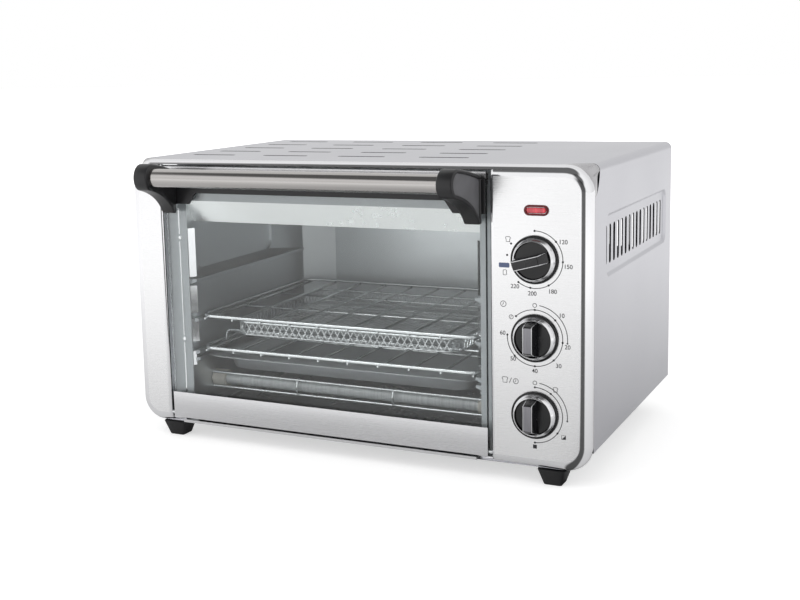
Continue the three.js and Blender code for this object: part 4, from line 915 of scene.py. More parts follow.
def make_channels():
    """The cap over the glass's top edge and the strip along its bottom edge, folded to its back."""
    low, high, back, sheet = DOOR[1], DOOR[3], CHANNEL_BACK, DOOR_SHEET
    cap = [(0, high - 5.5), (sheet, high - 5.5), (sheet, high - sheet),
           (back - sheet, high - sheet), (back - sheet, high - 12),
           (back, high - 12), (back, high), (0, high)]
    strip = [(0, low), (back, low), (back, 36.0), (back - sheet, 36.0),
             (back - sheet, low + sheet), (sheet, low + sheet), (sheet, 44.0), (0, 44.0)]
    channel("door_cap", cap, 0.25, "door_top_cap")
    channel("door_strip", strip, 0.3, "door_bottom_strip")


def make_rail():
    """The black rail in front of the glass, whose lower edge steps up between the brackets."""
    outline = [(-178, 246.4), (-178, 218.9), (-150.5, 218.9), (-143.5, 228.9),
               (95.5, 228.9), (102.5, 218.9), (130, 218.9), (130, 246.4)]
    piece = prism(Shape(), outline, -2.6, 0.8, "y").made(
        "handle_rail", BLACK, "door", "door_top_rail", "black_plastic", 30)
    return bevelled(piece, 0.5)


make_channels()
repainted("door_glass", GLASS)
make_rail()


# Handle


def curve(start, knee, end):
    """A bent line without its ends: (1 - t)^2 start + 2 t (1 - t) knee + t^2 end."""
    t = np.linspace(0, 1, 16)[1:-1, None]
    return (1 - t) ** 2 * start + 2 * t * (1 - t) * knee + t ** 2 * end


def bracket_profile():
    """The bracket's side outline in (y, z): a round head on a neck that sweeps down to the foot."""
    start, knee, end = np.array([(-2.9, 249.0), (-21.0, 255.0), (-42.0, 258.0)])
    head = arc((TUBE_Y, TUBE_Z), 12.0, 90, 240, 22)
    foot = np.array([(-7.4, 211.0), (-2.9, 211.0)])
    belly = curve(head[-1], np.array([-17.6, 229.2]), foot[0])
    return np.concatenate([start[None], curve(start, knee, end), head, belly, foot])


def drawn_in(outline, inset):
    """An outline moved inwards by inset along the mean of its neighbouring edges' normals."""
    ahead = np.roll(outline, -1, 0) - outline
    ahead /= np.linalg.norm(ahead, axis=1, keepdims=True)
    behind = np.roll(ahead, 1, 0)
    normal = np.stack([-(ahead + behind)[:, 1], (ahead + behind)[:, 0]], -1)
    size = np.linalg.norm(normal, axis=1, keepdims=True)
    normal /= size
    spread = 1 / np.maximum(size / 2, 0.6)
    (u, v), (next_u, next_v) = outline.T, np.roll(outline, -1, 0).T
    area = 0.5 * np.sum(u * next_v - next_u * v)
    return outline + normal * inset * spread * np.sign(area)


def even(outline, count):
    """The same closed outline with evenly spaced points."""
    loop = np.concatenate([outline, outline[:1]])
    length = lengths_along(loop)
    return points_at(loop, length, np.linspace(0, length[-1], count, endpoint=False))


def make_bracket(side):
    """A moulded bracket: rings of its side outline as (inset, place along x), with both edges
    rounded and a sunken face on the outer side. It splays outwards with its distance from the rail."""
    outer = DOOR[0] + 2 if side < 0 else DOOR[2] - 2
    inner = outer - side * BRACKET_WIDTH
    turn = quarter_turn(5)
    edge = list(zip(BRACKET_EDGE * (1 - np.sin(turn)), side * BRACKET_EDGE * (1 - np.cos(turn))))
    rows = [(inset, inner + x) for inset, x in edge]
    rows += [(inset, outer - x) for inset, x in edge[::-1]]
    rows += [(2.6, outer), (3.1, outer - side * 0.4), (3.3, outer - side * 1.1)]
    outline = even(bracket_profile(), 110)
    points = np.array([np.insert(drawn_in(outline, inset), 0, x, axis=1) for inset, x in rows])
    points[..., 0] += side * BRACKET_SPLAY * (points[..., 1] + 2.6)
    word = "left" if side < 0 else "right"
    piece = Shape().grid(points, around=True, ends=True, flip=side > 0).made(
        f"bracket_{word}", BLACK, "door", f"handle_bracket_{word}", "black_plastic", 40)
    return second_finish(piece, INSET_GREY, -1)


def make_tube():
    """The handle's tube, with its ends drawn in to close it."""
    (x0, x1), end = TUBE_ENDS, TUBE_RADIUS - 1
    profile = [(end, x0 + 0.01), (TUBE_RADIUS, x0), (TUBE_RADIUS, x1), (end, x1 - 0.01)]
    return turned(Shape(), profile, (0, TUBE_Y, TUBE_Z), "x", 72).made(
        "handle_bar", TUBE_STEEL, "door", "handle_tube", "door_steel", 30)


for side in (-1, 1):
    make_bracket(side)
make_tube()


# Racks, basket and tray


UP = (0, 0, 1)


def level_path(x0, y0, x1, y1, z, radius):
    """A closed path at height z round a rectangle with rounded corners."""
    corners = [(x0, y0, z), (x1, y0, z), (x1, y1, z), (x0, y1, z)]
    return rounded_path(corners, radius, 10, closed=True)


def make_rack(node):
    """A wire frame with its cross wires under it and two rails under those, each sunk a little into
    the wire above."""
    z = RACK_LEVELS[node]
    shape = Shape()
    x0, x1, y0, y1 = RACK_X[0] + WIRE, RACK_X[1] - WIRE, RACK_Y[0] + WIRE, RACK_Y[1] - WIRE
    wire(shape, level_path(x0, y0, x1, y1, z, 14.0), UP, WIRE, 14, closed=True)
    under = z - WIRE - CROSS_WIRE + SUNK
    for x in CROSS_X:
        path = [(x, RACK_Y[0] + 0.3, under), (x, RACK_Y[1] - 0.3, under)]
        wire(shape, path, UP, CROSS_WIRE, 12)
    low = under - 2 * CROSS_WIRE + SUNK
    for y in CROSS_RAILS:
        wire(shape, [(CROSS_X[0] - 2, y, low), (CROSS_X[-1] + 2, y, low)], UP, CROSS_WIRE, 12)
    body = "upper_shelf" if node == "upper_rack" else "lower_shelf"
    return shape.made(f"{node}_wires", RACK_WIRE, body, node, "wire", 60)


def floor_strands(shape, direction, pitch, z, radius):
    """Slanted strands across the basket's floor: each line x = c - 1.35 direction (y - middle) is
    kept where it lies inside the rounded outline, and made a thin four-sided bar."""
    x0, y0, x1, y1 = BASKET
    c = np.arange(x0 - (y1 - y0), x1 + (y1 - y0), pitch)[:, None]
    y = np.linspace(y0, y1, 400)[None]
    x = c - direction * (y - (y0 + y1) / 2) * 1.35
    inside = inside_distance(x, y, x0 + 0.6, y0 + 0.6, x1 - 0.6, y1 - 0.6, 15.4) > 0
    keep = inside.sum(1) > 3
    first, last = inside.argmax(1)[keep], inside.shape[1] - 1 - inside[:, ::-1].argmax(1)[keep]
    rows = np.nonzero(keep)[0]
    ends = [np.stack([x[rows, k], y[0, k], np.full(len(rows), z)], -1) for k in (first, last)]
    bars(shape, *ends, radius)


def bars(shape, start, end, radius):
    """Many straight four-sided bars at once, from arrays of their two ends."""
    along = end - start
    along /= np.linalg.norm(along, axis=1, keepdims=True)
    rough = np.where(np.abs(along[:, 2:]) < 0.9, np.array([[0, 0, 1.0]]), np.array([[1.0, 0, 0]]))
    side = np.cross(along, rough)
    side /= np.linalg.norm(side, axis=1, keepdims=True)
    up = np.cross(side, along)
    angle = (np.arange(4)[:, None] + 0.5) / 4 * TAU
    spoke = (side[:, None] * np.cos(angle) + up[:, None] * np.sin(angle)) * radius
    points = np.stack([start[:, None] + spoke, end[:, None] + spoke], 1)
    ring = np.arange(4)
    quads = np.stack([ring, np.roll(ring, -1), np.roll(ring, -1) + 4, ring + 4], -1)
    caps = np.array([[3, 2, 1, 0], [4, 5, 6, 7]])
    one = np.concatenate([quads, caps])
    faces = (one[None] + 8 * np.arange(len(start))[:, None, None]).reshape(-1, 4)
    shape.add(points, faces)


def wall_strands(shape, lean, pitch, radius):
    """Slanted strands round the basket's wall: foot at s along the outline, head at s + lean."""
    loop = drawn_in(rounded_rectangle(*BASKET, 16.0, 10), 0.5)
    loop = np.concatenate([loop, loop[:1]])
    length = lengths_along(loop)
    s = np.arange(0, length[-1], pitch)

    def at(place, z):
        return np.insert(points_at(loop, length, np.mod(place, length[-1])), 2, z, axis=1)

    bars(shape, at(s, BASKET_FLOOR + 0.5), at(s + lean, BASKET_RIM), radius)


def make_basket():
    """The mesh of floor and wall, a hoop at the rim and one at the floor, and two wires bent down
    to the rack as legs."""
    shape = Shape()
    for direction in (-1, 1):
        floor_strands(shape, direction, pitch=9.0, z=BASKET_FLOOR + 0.5, radius=0.3)
        wall_strands(shape, lean=direction * 6.5, pitch=6.5, radius=0.34)
    x0, y0, x1, y1 = BASKET
    for z, radius in ((BASKET_RIM, 1.2), (BASKET_FLOOR + 0.6, 0.6)):
        path = level_path(x0 + 0.5, y0 + 0.5, x1 - 0.5, y1 - 0.5, z, 15.5)
        wire(shape, path, UP, radius, 10, closed=True)
    foot = RACK_LEVELS["lower_rack"] - WIRE + SUNK + 0.3
    head = BASKET_FLOOR - LEG_WIRE + SUNK
    left, right = CROSS_X[0], CROSS_X[-1]
    for y in BASKET_LEGS:
        path = [(left, y, foot), (left, y, head), (right, y, head), (right, y, foot)]
        wire(shape, rounded_path(path, 5.0, 6), (0, 1, 0), LEG_WIRE, 12)
    return shape.made("basket_mesh", RACK_WIRE, "lower_shelf", "mesh_basket", "wire", 50)


TRAY_RINGS = [
    (60.0, 2.0, 62.0), (20.5, 14.5, 62.0), (19.2, 15.6, 62.3), (18.0, 16.5, 63.2),
    (14.2, 19.5, 74.4), (13.2, 20.0, 75.6), (12.0, 20.0, 76.0), (0.8, 20.0, 76.0),
    (0.1, 20.0, 76.2), (0.0, 20.0, 76.5), (0.4, 20.0, 76.95), (12.4, 19.6, 77.0),
    (14.0, 19.2, 76.5), (15.2, 18.6, 75.2), (19.0, 15.8, 64.4), (20.0, 15.0, 63.4),
    (21.4, 14.0, 63.0), (60.0, 2.0, 63.0),
]


def make_tray():
    """Pressed pan: rings of its outline as (inset, corner radius, height), from the underside up
    round the rim's edge, and down again to the floor."""
    x0, y0, x1, y1 = TRAY
    rows = []
    for inset, radius, z in TRAY_RINGS:
        ring = rounded_rectangle(x0 + inset, y0 + inset, x1 - inset, y1 - inset, radius, 12)
        rows.append(np.insert(ring, 2, z, axis=1))
    return Shape().grid(np.array(rows), around=True, ends=True).made(
        "tray_pan", TRAY_STEEL, "tray", "baking_tray", "tray_enamel", 50)


for node in RACK_LEVELS:
    make_rack(node)
make_basket()
make_tray()


# Heating tubes


QUARTZ_PROFILE = [(4.2, -151.7), (5.5, -151.6), (5.5, 113.6), (4.2, 113.7)]
CERAMIC_PROFILE = [
    (0.0, -14.0), (1.4, -14.0), (1.4, -8.0), (4.4, -8.0), (5.0, -7.4), (5.0, 0.3), (7.4, 0.3),
    (8.0, 0.9), (8.0, 14.2), (7.2, 15.0), (6.0, 15.0), (5.8, 14.6), (5.8, 8.0), (0.0, 8.0),
]


def make_element(place):
    """A heating tube, and its ceramic ends as (radius, distance into the cavity)."""
    y, z = ELEMENTS[place]
    turned(Shape(), QUARTZ_PROFILE, (0, y, z), "x", 40).made(
        f"quartz_{place}", QUARTZ, "oven", f"heating_tube_{place}", "quartz", 40)
    for side, wall, word in ((-1, CAVITY[0], "left"), (1, CAVITY[1], "right")):
        profile = [(radius, wall - side * inwards) for radius, inwards in CERAMIC_PROFILE]
        turned(Shape(), profile, (0, y, z), "x", 32).made(
            f"ceramic_{place}_{word}", CERAMIC, "oven", f"ceramic_end_{place}_{word}", "ceramic", 40)


def make_guard():
    """Two long wires in front of the lower front tube, joined by two bowed ones."""
    shape = Shape()
    y, z = ELEMENTS["lower_front"]
    left, right = CAVITY[0] + 0.3, CAVITY[1] - 0.3
    turn = 0.75 * math.pi
    for sign in (1, -1):
        place = (y + GUARD_RADIUS * math.cos(turn), z + sign * GUARD_RADIUS * math.sin(turn))
        wire(shape, [(left, *place), (right, *place)], UP, GUARD_WIRE, 12, tip=False)
    angle = np.pi + np.linspace(-1, 1, 17) * np.pi / 3
    bow = np.stack([y + GUARD_RADIUS * np.cos(angle), z + GUARD_RADIUS * np.sin(angle)], -1)
    for share in (0.33, 0.67):
        path = np.insert(bow, 0, left + share * (right - left), axis=1)
        wire(shape, path, (1, 0, 0), GUARD_WIRE, 12)
    return shape.made("element_guard", RACK_WIRE, "oven", "heating_tube_guard", "wire", 60)


for place in ELEMENTS:
    make_element(place)
make_guard()


# Knobs


def spun(points, degrees, z):
    """Turns points clockwise, seen from the front, about a dial's axis that lies at height z."""
    a = math.radians(degrees)
    cosine, sine = math.cos(a), math.sin(a)
    x, y, up = points[..., 0], points[..., 1], points[..., 2]
    return np.stack([DIAL_X + x * cosine + up * sine, y, z - x * sine + up * cosine], -1)


GRIP_FOOT, GRIP_FRONT = 14.6, (12.2, -9.0)
GRIP_HALF, GRIP_LIFT = (4.1, 3.5), 19.0
GRIP_EDGE = 0.6
FACE_Y = -5.0
SKIRT_RADIUS, SKIRT_EDGE = 19.2, 1.2
SKIRT = [(SKIRT_RADIUS - SKIRT_EDGE * (1 - math.cos(a)), -1.6 - SKIRT_EDGE * math.sin(a))
         for a in quarter_turn(7)]
KNOB_BODY = [
    (0, -1.2), (SKIRT_RADIUS, -1.2), *SKIRT, (17.9, -2.7), (17.8, -2.2),
    (14.6, -2.2), (14.6, FACE_Y + 0.6), (14.2, FACE_Y), (0, FACE_Y - 0.8),
]
KNOB_RING = [
    (14.7, -2.2), (17.9, -2.2), (17.8, -3.0), (15.7, -6.4),
    (15.4, -6.75), (15.0, -6.9), (14.8, -6.7), (14.7, -6.2),
]
TRIM_BALL = [(0.85 * math.sin(a), -0.85 * math.cos(a)) for a in np.radians(np.linspace(0, 180, 9))]


def grip_rows():
    """Rings of the grip bar from its foot forwards. The half width and the two ends run evenly from
    the foot's to the front's, and the last rings round the front edge over a quarter circle."""
    rows = [(FACE_Y + 1.0, 0.0), (FACE_Y - 4.0, 0.0), (FACE_Y - 9.0, 0.0)]
    rows += [(-GRIP_LIFT + GRIP_EDGE * (1 - math.sin(a)), GRIP_EDGE * (1 - math.cos(a)))
             for a in quarter_turn(5)]
    out = []
    for y, draw in rows:
        t = np.clip((y - FACE_Y) / (-GRIP_LIFT - FACE_Y), 0, 1)
        half = GRIP_HALF[0] + (GRIP_HALF[1] - GRIP_HALF[0]) * t - draw
        top = GRIP_FOOT + (GRIP_FRONT[0] - GRIP_FOOT) * t - draw
        low = -GRIP_FOOT + (GRIP_FRONT[1] + GRIP_FOOT) * t + draw
        out.append(upright(rounded_rectangle(-half, low, half, top, 0.8, 4), y))
    return np.array(out)


def grip_edge(side):
    """The bright line round one side of the grip: foot, front top, front bottom, foot."""
    x0, x1 = side * (GRIP_HALF[0] + 0.05), side * (GRIP_HALF[1] - 0.1)
    corners = [(x0, FACE_Y, GRIP_FOOT - 0.3), (x1, -GRIP_LIFT + 0.2, GRIP_FRONT[0] - 0.2),
               (x1, -GRIP_LIFT + 0.2, GRIP_FRONT[1] + 0.2), (x0, FACE_Y, -GRIP_FOOT + 0.3)]
    return rounded_path(corners, 0.8, 5)


def make_knob(word):
    """A knob, turned to its place at rest: its body with a low skirt, the chrome ring, the grip
    with a front face of its own, and the grip's bright lines, which end in small balls."""
    z, turn = DIALS[word], REST_TURN[word]
    body = f"{word}_dial"
    turned(Shape(), KNOB_BODY, (DIAL_X, 0, z), "y", 96).made(
        f"{word}_knob_body", GLOSS_BLACK, body, f"{word}_knob", "black_plastic", 35)
    grip = Shape().grid(spun(grip_rows(), turn, z), around=True, ends=True).made(
        f"{word}_grip", GLOSS_BLACK, body, None, "black_plastic", 35)
    # The turned temperature knob's grip face takes the dark copy of the inlay, painted shade.
    second_finish(grip, GRIP_STEEL if turn == 0 else SHADED_GRIP_INLAY, -1)
    turned(Shape(), KNOB_RING, (DIAL_X, 0, z), "y", 96, closed=True).made(
        f"{word}_ring", CHROME, body, f"{word}_knob_ring", "chrome_ring", 40)
    trim = Shape()
    normal = spun(np.array([[1.0, 0, 0]]), turn, z)[0] - np.array([DIAL_X, 0, z])
    for side in (-1, 1):
        path = spun(grip_edge(side), turn, z)
        wire(trim, path, normal, 0.4, 10)
        for end in (path[0], path[-1]):
            turned(trim, TRIM_BALL, end, "y", 16)
    trim.made(f"{word}_grip_trim", CHROME, body, None, "chrome_ring", 60)


def make_pointer(word):
    """A dark notch that runs down the middle of the grip's upper end from the ring."""
    t = np.array([0.0, 0.5])
    y = FACE_Y + (-GRIP_LIFT - FACE_Y) * t - 0.25
    z = GRIP_FOOT + (GRIP_FRONT[0] - GRIP_FOOT) * t + 0.15
    rows = np.stack([np.stack([np.full(2, x), y, z], -1) for x in (-0.75, 0.75)])
    return Shape().grid(spun(rows, REST_TURN[word], DIALS[word])).made(
        f"{word}_pointer", BLACK, f"{word}_dial", None, "black_plastic", 30, outwards=False)


for word in DIALS:
    make_knob(word)
    make_pointer(word)


# Lamp


def make_lamp():
    """Bezel and lens, as rings of a slot's outline: (width, height, depth)."""
    bezel = [(20, 8.4, -0.3), (20, 8.4, -0.8), (19.6, 8.0, -1.2), (19.2, 7.6, -1.3),
             (17.0, 5.4, -1.3), (16.6, 5.0, -0.9), (16.6, 5.0, 6.0)]
    lens = [(16.0, 4.4, 6.0), (16.0, 4.4, -0.5), (15.4, 3.8, -0.8), (13.0, 1.6, -0.9)]

    def rings(rows):
        return np.array([upright(slot_outline(*LAMP, u, v, 12), y) for u, v, y in rows])

    Shape().grid(rings(bezel), around=True).made(
        "lamp_frame", DARK_RED, "oven", "lamp_bezel", "dark_red_plastic", 40)
    Shape().grid(rings(lens), around=True, ends=True).made(
        "lamp_window", LENS, "oven", "lamp_lens", "lamp_red", 50)


make_lamp()


# Materials of the CAD pieces that stay


STAYS = {
    GALVANISED: ["base_plate", "heat_shield", "hinge_plate_left", "hinge_plate_right", "thermostat",
                 "timer", "toast_timer", "fan_blade", "fan_motor"],
    DOOR_STEEL: ["crumb_tray"],
    RACK_WIRE: ["hinge_pin_left", "hinge_pin_right", "handle_screw_left", "handle_screw_right",
                "temperature_shaft", "timer_shaft", "toast_shaft"],
    BLACK: ["cord_gland"],
}
for material, nodes in STAYS.items():
    for node in nodes:
        repainted(node, material)

LIP_Y, LIP_DEPTH = 9.0, 22.0
LINTEL_FROM = 200.0
BEAD_X, BEAD_Z = -168.2, (36.0, 214.0)
RIVETS = (93.0, 187.0)
EDGE_STRIPS = [(68.5, 81.5, 2.1), (90.6, 111.8, 4.4), (117.2, 142.4, 4.4), (150.8, 195.4, 4.4)]


def make_liner():
    """The cavity's walls. The faces of its front lips take a darker copy of the steel, painted shade,
    and those of the lintel a brighter copy, painted highlight.
    """
    mesh = dressed_node("cavity_liner", LINER, "liner_walls").data
    mesh.materials.append(SHADED_LIP_STEEL)
    mesh.materials.append(LIT_LINTEL_STEEL)
    place = (face_vectors(mesh, "center") - FRONT) / MM
    lip = (face_vectors(mesh, "normal")[:, 1] < -0.6) & (place[:, 1] < LIP_DEPTH)
    # Front-facing lip faces get the shaded copy, and those above LINTEL_FROM the lit copy: painted light.
    painted_light_index = np.where(lip, 1 + (place[:, 2] > LINTEL_FROM), 0)
    mesh.polygons.foreach_set("material_index", painted_light_index.astype(np.int32))


def make_lip_details():
    """On the left lip a pressed bead and two rivets; along both walls' front edges, between the
    runners, narrow strips folded at 45 degrees."""
    shape = Shape()
    breaks = [BEAD_Z[0], *(z + d for z in RIVETS for d in (-3.2, 3.2)), BEAD_Z[1]]
    for low, high in zip(breaks[::2], breaks[1::2]):
        wire(shape, [(BEAD_X, LIP_Y, low), (BEAD_X, LIP_Y, high)], (0, 1, 0), 0.8, 12)
    for z in RIVETS:
        dome = [(2.1 * math.sin(a), LIP_Y - 1.1 * math.cos(a)) for a in quarter_turn(7)]
        turned(shape, dome, (BEAD_X, 0, z), "y", 24)
    for side, wall in ((-1, CAVITY[0]), (1, CAVITY[1])):
        for low, high, reach in EDGE_STRIPS:
            edge, back = wall + side * 0.9, LIP_Y + 1.3 + reach
            outline = [(edge, LIP_Y + 0.1), (edge, back), (wall - side * reach, back)]
            prism(shape, outline, low, high, "z")
    shape.made("liner_lip_details", POLISHED, "oven", None, "liner_steel", 40)


make_liner()
make_lip_details()
for word in ("front_left", "front_right", "rear_left", "rear_right"):
    dressed_node(f"foot_{word}", RUBBER, f"rubber_foot_{word}", 0.6)


# Marks printed on the control face


def dial_point(word, degrees, radius):
    """A point (x, z) round a dial, clockwise from its top."""
    a = math.radians(degrees)
    return np.array([DIAL_X + radius * math.sin(a), DIALS[word] + radius * math.cos(a)])


PRINT_Y = -0.08


def flat_strip(shape, inner, outer):
    """Flat mark between two lines of points in (x, z)."""
    rows = np.stack([inner, outer])
    points = np.stack([rows[..., 0], np.full(rows.shape[:2], PRINT_Y), rows[..., 1]], -1)
    return shape.grid(points)


def flat_patch(shape, outline):
    """One flat face inside an outline in (x, z)."""
    return shape.add(upright(outline, PRINT_Y), [np.arange(len(outline))])


def mark_arc(shape, word, radius, start, end):
    """A fine line round a dial."""
    angle = np.radians(np.linspace(start, end, 80))
    centre = np.array([DIAL_X, DIALS[word]])
    spoke = np.stack([np.sin(angle), np.cos(angle)], -1)
    return flat_strip(shape, centre + spoke * (radius - 0.3), centre + spoke * (radius + 0.3))


def mark_dot(shape, centre, radius, hollow=0.05):
    """A dot, or a ring round a hollow of the given radius."""
    angle = np.linspace(0, TAU, 25)
    spoke = np.stack([np.sin(angle), np.cos(angle)], -1)
    return flat_strip(shape, centre + spoke * hollow, centre + spoke * radius)


def mark_line(shape, points, width, closed=False):
    """A stroke along a polyline in (x, z), as far to each side as the given width."""
    points = np.asarray(points, float)
    if closed:
        points = np.concatenate([points, points[:1]])
    along = np.gradient(points, axis=0)
    along /= np.linalg.norm(along, axis=1, keepdims=True)
    normal = np.stack([-along[:, 1], along[:, 0]], -1)
    return flat_strip(shape, points - normal * width, points + normal * width)


def mark_number(text, centre, size, name):
    """A number as flat text, made a mesh before it is put in its place."""
    figures = bpy.data.curves.new(name, "FONT")
    figures.body, figures.size, figures.offset = text, size * MM, 0.045 * MM
    figures.align_x, figures.align_y = "CENTER", "CENTER"
    carrier = bpy.data.objects.new(name, figures)
    bpy.context.scene.collection.objects.link(carrier)
    bpy.context.view_layer.update()
    shown = carrier.evaluated_get(bpy.context.evaluated_depsgraph_get())
    mesh = bpy.data.meshes.new_from_object(shown)
    bpy.data.objects.remove(carrier)
    flat = np.zeros(len(mesh.vertices) * 3)
    mesh.vertices.foreach_get("co", flat)
    place = upright(flat.reshape(-1, 3)[:, :2] + centre * MM, PRINT_Y * MM + FRONT[1])
    mesh.vertices.foreach_set("co", place.ravel())
    mesh.update()
    mesh.materials.clear()
    return finished(mesh, name, PRINT, "oven", None, 30)


DOT_ANGLES = {"temperature": [0, 49, 92, 150, 189, 216, 277, 302],
              "timer": [0, 47, 95, 137, 180, 227, 273, 317], "toast": [0, 35, 125, 180]}
NUMBERS = {
    "temperature": {"120": (22.9, 14.7), "150": (26.9, -4.4), "180": (14.4, -24.5),
                    "200": (-2.0, -27.0), "220": (-16.2, -22.0)},
    "timer": {"10": (21.8, 19.4), "20": (26.6, -5.4), "30": (19.4, -20.9), "40": (0.0, -26.6),
              "50": (-18.0, -18.2), "60": (-26.6, 2.3)},
}
RING_RADIUS, OUTER_RADIUS = 22.7, 26.6


def bread_mark(shape, centre, size):
    """A slice of bread: a square body under a wider, rounded crust."""
    u, v = centre
    body = [(u + size * 0.75, v - size), (u + size * 0.75, v + size * 0.1)]
    crust = arc((u + size * 0.55, v + size * 0.5), size * 0.45, -60, 90, 8)
    half = np.concatenate([body, crust])
    mirror = half[::-1] * np.array([-1, 1]) + np.array([2 * u, 0])
    return mark_line(shape, np.concatenate([half, mirror, half[:1]]), width=0.22)


def clock_mark(shape, centre, radius):
    """A clock: a ring with two hands."""
    mark_dot(shape, centre, radius, radius - 0.45)
    hands = np.array([(0, radius * 0.6), (0, 0), (-radius * 0.4, -radius * 0.3)])
    return mark_line(shape, centre + hands, width=0.2)


def make_marks():
    """Dots, arcs, small signs and numbers round the dials, and the bare badge."""
    shape = Shape()
    for word, angles in DOT_ANGLES.items():
        for angle in angles:
            mark_dot(shape, dial_point(word, angle, RING_RADIUS), 0.85)
    mark_arc(shape, "temperature", RING_RADIUS, 0, 216)
    mark_arc(shape, "timer", RING_RADIUS, -43, 273)
    mark_arc(shape, "toast", RING_RADIUS, 0, 180)
    for word in ("timer", "toast"):
        mark_arc(shape, word, OUTER_RADIUS, 8, 94)
        mark_dot(shape, dial_point(word, 95, OUTER_RADIUS), 0.7)
        mark_dot(shape, dial_point(word, 0, 26.3), 1.8, 1.35)
    at = {word: np.array([DIAL_X, z]) for word, z in DIALS.items()}
    clock_mark(shape, at["timer"] + (-25.9, 26.0), 2.5)
    clock_mark(shape, at["timer"] + (-19.4, 15.8), 1.9)
    clock_mark(shape, at["toast"] + (-15.8, 26.2), 2.3)
    mark_line(shape, at["toast"] + np.array([(-21.2, 24.4), (-19.4, 28.6)]), width=0.25)
    bread_mark(shape, at["toast"] + (-24.9, 26.8), 2.3)
    bread_mark(shape, at["toast"] + (16.8, 22.2), 1.9)
    bread_mark(shape, at["temperature"] + (-21.8, 15.4), 2.0)
    box = rounded_rectangle(-1.4, -2.0, 1.4, 2.0, 0.5, 3)
    mark_line(shape, at["temperature"] + np.array([-24.5, -11.2]) + box, width=0.2, closed=True)
    square = np.array([(-1.6, -1.6), (1.6, -1.6), (1.6, 1.6), (-1.6, 1.6)])
    for corner, fill in (((0.0, -26.0), square), ((23.6, -15.8), square[[0, 1, 2]])):
        flat_patch(shape, at["toast"] + corner + fill)
    mark_line(shape, at["toast"] + np.array([23.6, -15.8]) + square, width=0.2, closed=True)
    shape.made("dial_marks", PRINT, "oven", None, "black_plastic", 30, outwards=False)
    badge = rounded_rectangle(-4.4, -1.9, 4.4, 1.9, 0.9, 4)
    flat_patch(Shape(), at["temperature"] + np.array([-25.1, -5.4]) + badge).made(
        "dial_badge", PRINT_BLUE, "oven", None, "black_plastic", 30, outwards=False)
    for word, places in NUMBERS.items():
        for text, shift in places.items():
            mark_number(text, at[word] + shift, 4.8, f"{word}_number_{text}")


make_marks()


# Studio


FLAG_WAY = Vector((0.32, -0.945, 0.06)).normalized()
CANOPY_WAY = Vector((-0.13, -0.38, 0.92)).normalized()
CORNER_WAY = Vector((0.36, -0.76, 0.54)).normalized()
CARDS = [(FLAG_WAY, 0.90, 0.955, 0.1), (CANOPY_WAY, 0.79, 0.88, 0.14),
         (CORNER_WAY, 0.93, 0.975, 0.14)]
FLOOR_HALF = 20.0


def make_stage():
    """A pale floor, whose shade eases to the background's white with its distance from the oven.
    Reflections show it brighter with distance, and with a dark wedge under the dark flag."""
    side = FLOOR_HALF
    mesh = bpy.data.meshes.new("floor")
    corners = [(-side, -side, 0), (side, -side, 0), (side, side, 0), (-side, side, 0)]
    mesh.from_pydata(corners, [], [(0, 1, 2, 3)])
    floor = bpy.data.objects.new("floor", mesh)
    bpy.context.scene.collection.objects.link(floor)
    material, tree, shader = new_material(
        "pale floor", (0.62, 0.62, 0.62, 1.0), Roughness=0.9, Specular_IOR_Level=0.1,
        Emission_Color=(1, 1, 1, 1))
    path = tree.nodes.new("ShaderNodeLightPath").outputs
    place = coordinates(tree)
    reach = vector_node(tree, "LENGTH", place)
    far = span(tree, reach, 0.3, 1.2, 0.08, 0.5)
    distant = span(tree, reach, 0.6, 2.5, 0.55, 1.0)
    seen = math_node(tree, "MAXIMUM", path["Is Camera Ray"], path["Is Transmission Ray"])
    mirrored = math_node(tree, "MULTIPLY", path["Is Glossy Ray"], far)
    lift = math_node(tree, "MAXIMUM", math_node(tree, "MULTIPLY", seen, distant), mirrored)
    feed(tree, shader.inputs, Emission_Strength=lift)
    way = vector_node(tree, "NORMALIZE", vector_node(tree, "SUBTRACT", place, (0.19, -0.09, 0)))
    level_way = Vector((FLAG_WAY.x, FLAG_WAY.y, 0)).normalized()
    wedge = span(tree, vector_node(tree, "DOT_PRODUCT", way, level_way), 0.93, 0.965, 0.0, 0.9)
    dark = tree.nodes.new("ShaderNodeBsdfDiffuse")
    feed(tree, dark.inputs, Color=(0.03, 0.03, 0.03, 1))
    share = math_node(tree, "MULTIPLY", wedge, path["Is Glossy Ray"])
    both = mixed(tree, share, shader.outputs[0], dark.outputs[0])
    feed(tree, tree.nodes["Material Output"].inputs, Surface=both)
    mesh.materials.append(material)


def background(tree, strength):
    """White light of the given strength from all round."""
    node = tree.nodes.new("ShaderNodeBackground")
    feed(tree, node.inputs, Color=(1, 1, 1, 1), Strength=strength)
    return node.outputs[0]


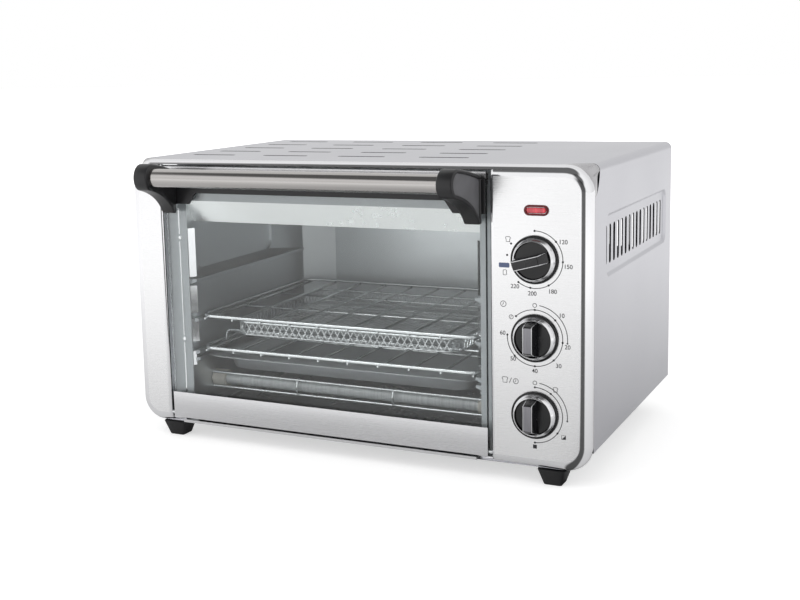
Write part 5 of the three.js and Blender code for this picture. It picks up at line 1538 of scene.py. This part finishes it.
def make_world():
    """A plain white room. Reflections also show three dark cards, a canopy over the front and two
    flags beside the camera, which give round and polished edges their dark bands. Each card is a
    direction, the cosines of its outer and inner edge, and its shade."""
    world = bpy.data.worlds.new("studio")
    bpy.context.scene.world = world
    world.use_nodes = True
    tree = world.node_tree
    tree.nodes.clear()
    out = tree.nodes.new("ShaderNodeOutputWorld")
    path = tree.nodes.new("ShaderNodeLightPath").outputs
    place = coordinates(tree, "Generated")
    split = tree.nodes.new("ShaderNodeSeparateXYZ")
    feed(tree, split.inputs, place)
    shades = []
    for way, outer, inner, shade in CARDS:
        toward = vector_node(tree, "DOT_PRODUCT", place, way)
        shades.append(span(tree, toward, outer, inner, 1.0, shade))
    flag, above, corner = shades
    behind = span(tree, split.outputs["Y"], -0.2, 0.6, 1.05, 0.86)
    cards = math_node(tree, "MULTIPLY", math_node(tree, "MULTIPLY", flag, above), behind)
    cards = math_node(tree, "MULTIPLY", cards, corner)
    gloss = path["Is Glossy Ray"]
    plain = span(tree, gloss, 0.0, 1.0, 0.92, 0.0)
    level = math_node(tree, "ADD", math_node(tree, "MULTIPLY", cards, gloss), plain)
    seen = math_node(tree, "MAXIMUM", path["Is Camera Ray"], path["Is Transmission Ray"])
    both = mixed(tree, seen, background(tree, level), background(tree, 1.0))
    feed(tree, out.inputs, Surface=both)


def make_lamp_light(name, place, target, size, power):
    """A soft light at a place in metres, turned to its target, and left out of reflections."""
    light = bpy.data.lights.new(name, "AREA")
    light.shape, light.size, light.size_y, light.energy = "RECTANGLE", size[0], size[1], power
    carrier = bpy.data.objects.new(name, light)
    carrier.location = place
    carrier.rotation_euler = (Vector(target) - Vector(place)).to_track_quat("-Z", "Y").to_euler()
    carrier.visible_glossy = False
    bpy.context.scene.collection.objects.link(carrier)


def make_camera():
    """The photograph's viewpoint, from its fit to an 800 x 600 picture: three turns in radians, a
    place in millimetres, and the focal length and the optical axis in pixels. The rows of its
    rotation are right, down and forward."""
    turn_y, turn_x, turn_z = (Matrix.Rotation(angle, 3, axis) for angle, axis in (
        (0.4737992, "Y"), (0.1510109, "X"), (0.0485328, "Z")))
    focal, (axis_x, axis_y) = 1215.816, (349.806, 257.977)
    axes = turn_y @ turn_x @ turn_z @ Matrix(((1, 0, 0), (0, 0, -1), (0, 1, 0)))
    right, down, forward = axes.row
    lens = bpy.data.cameras.new("photo view")
    lens.sensor_width, lens.sensor_fit = 36.0, "HORIZONTAL"
    lens.lens = focal * 36.0 / 800.0
    lens.shift_x, lens.shift_y = (400.0 - axis_x) / 800.0, (axis_y - 300.0) / 800.0
    lens.clip_start, lens.clip_end = 0.05, 60.0
    camera = bpy.data.objects.new("photo view", lens)
    place = Vector((466.92, -1012.79, 336.84)) * MM
    turn = Matrix((right, -down, -forward)).transposed()
    camera.matrix_world = Matrix.Translation(place) @ turn.to_4x4()
    bpy.context.scene.collection.objects.link(camera)
    bpy.context.scene.camera = camera


make_stage()
make_world()
make_lamp_light("key", place=(-1.2, -1.8, 2.2), target=(0, 0, 0.1), size=(1.6, 1.2), power=14)
make_lamp_light("fill", place=(1.8, -0.6, 1.4), target=(0, 0, 0.15), size=(1.2, 1.2), power=6)
make_camera()
bpy.context.scene.view_settings.view_transform = "Standard"
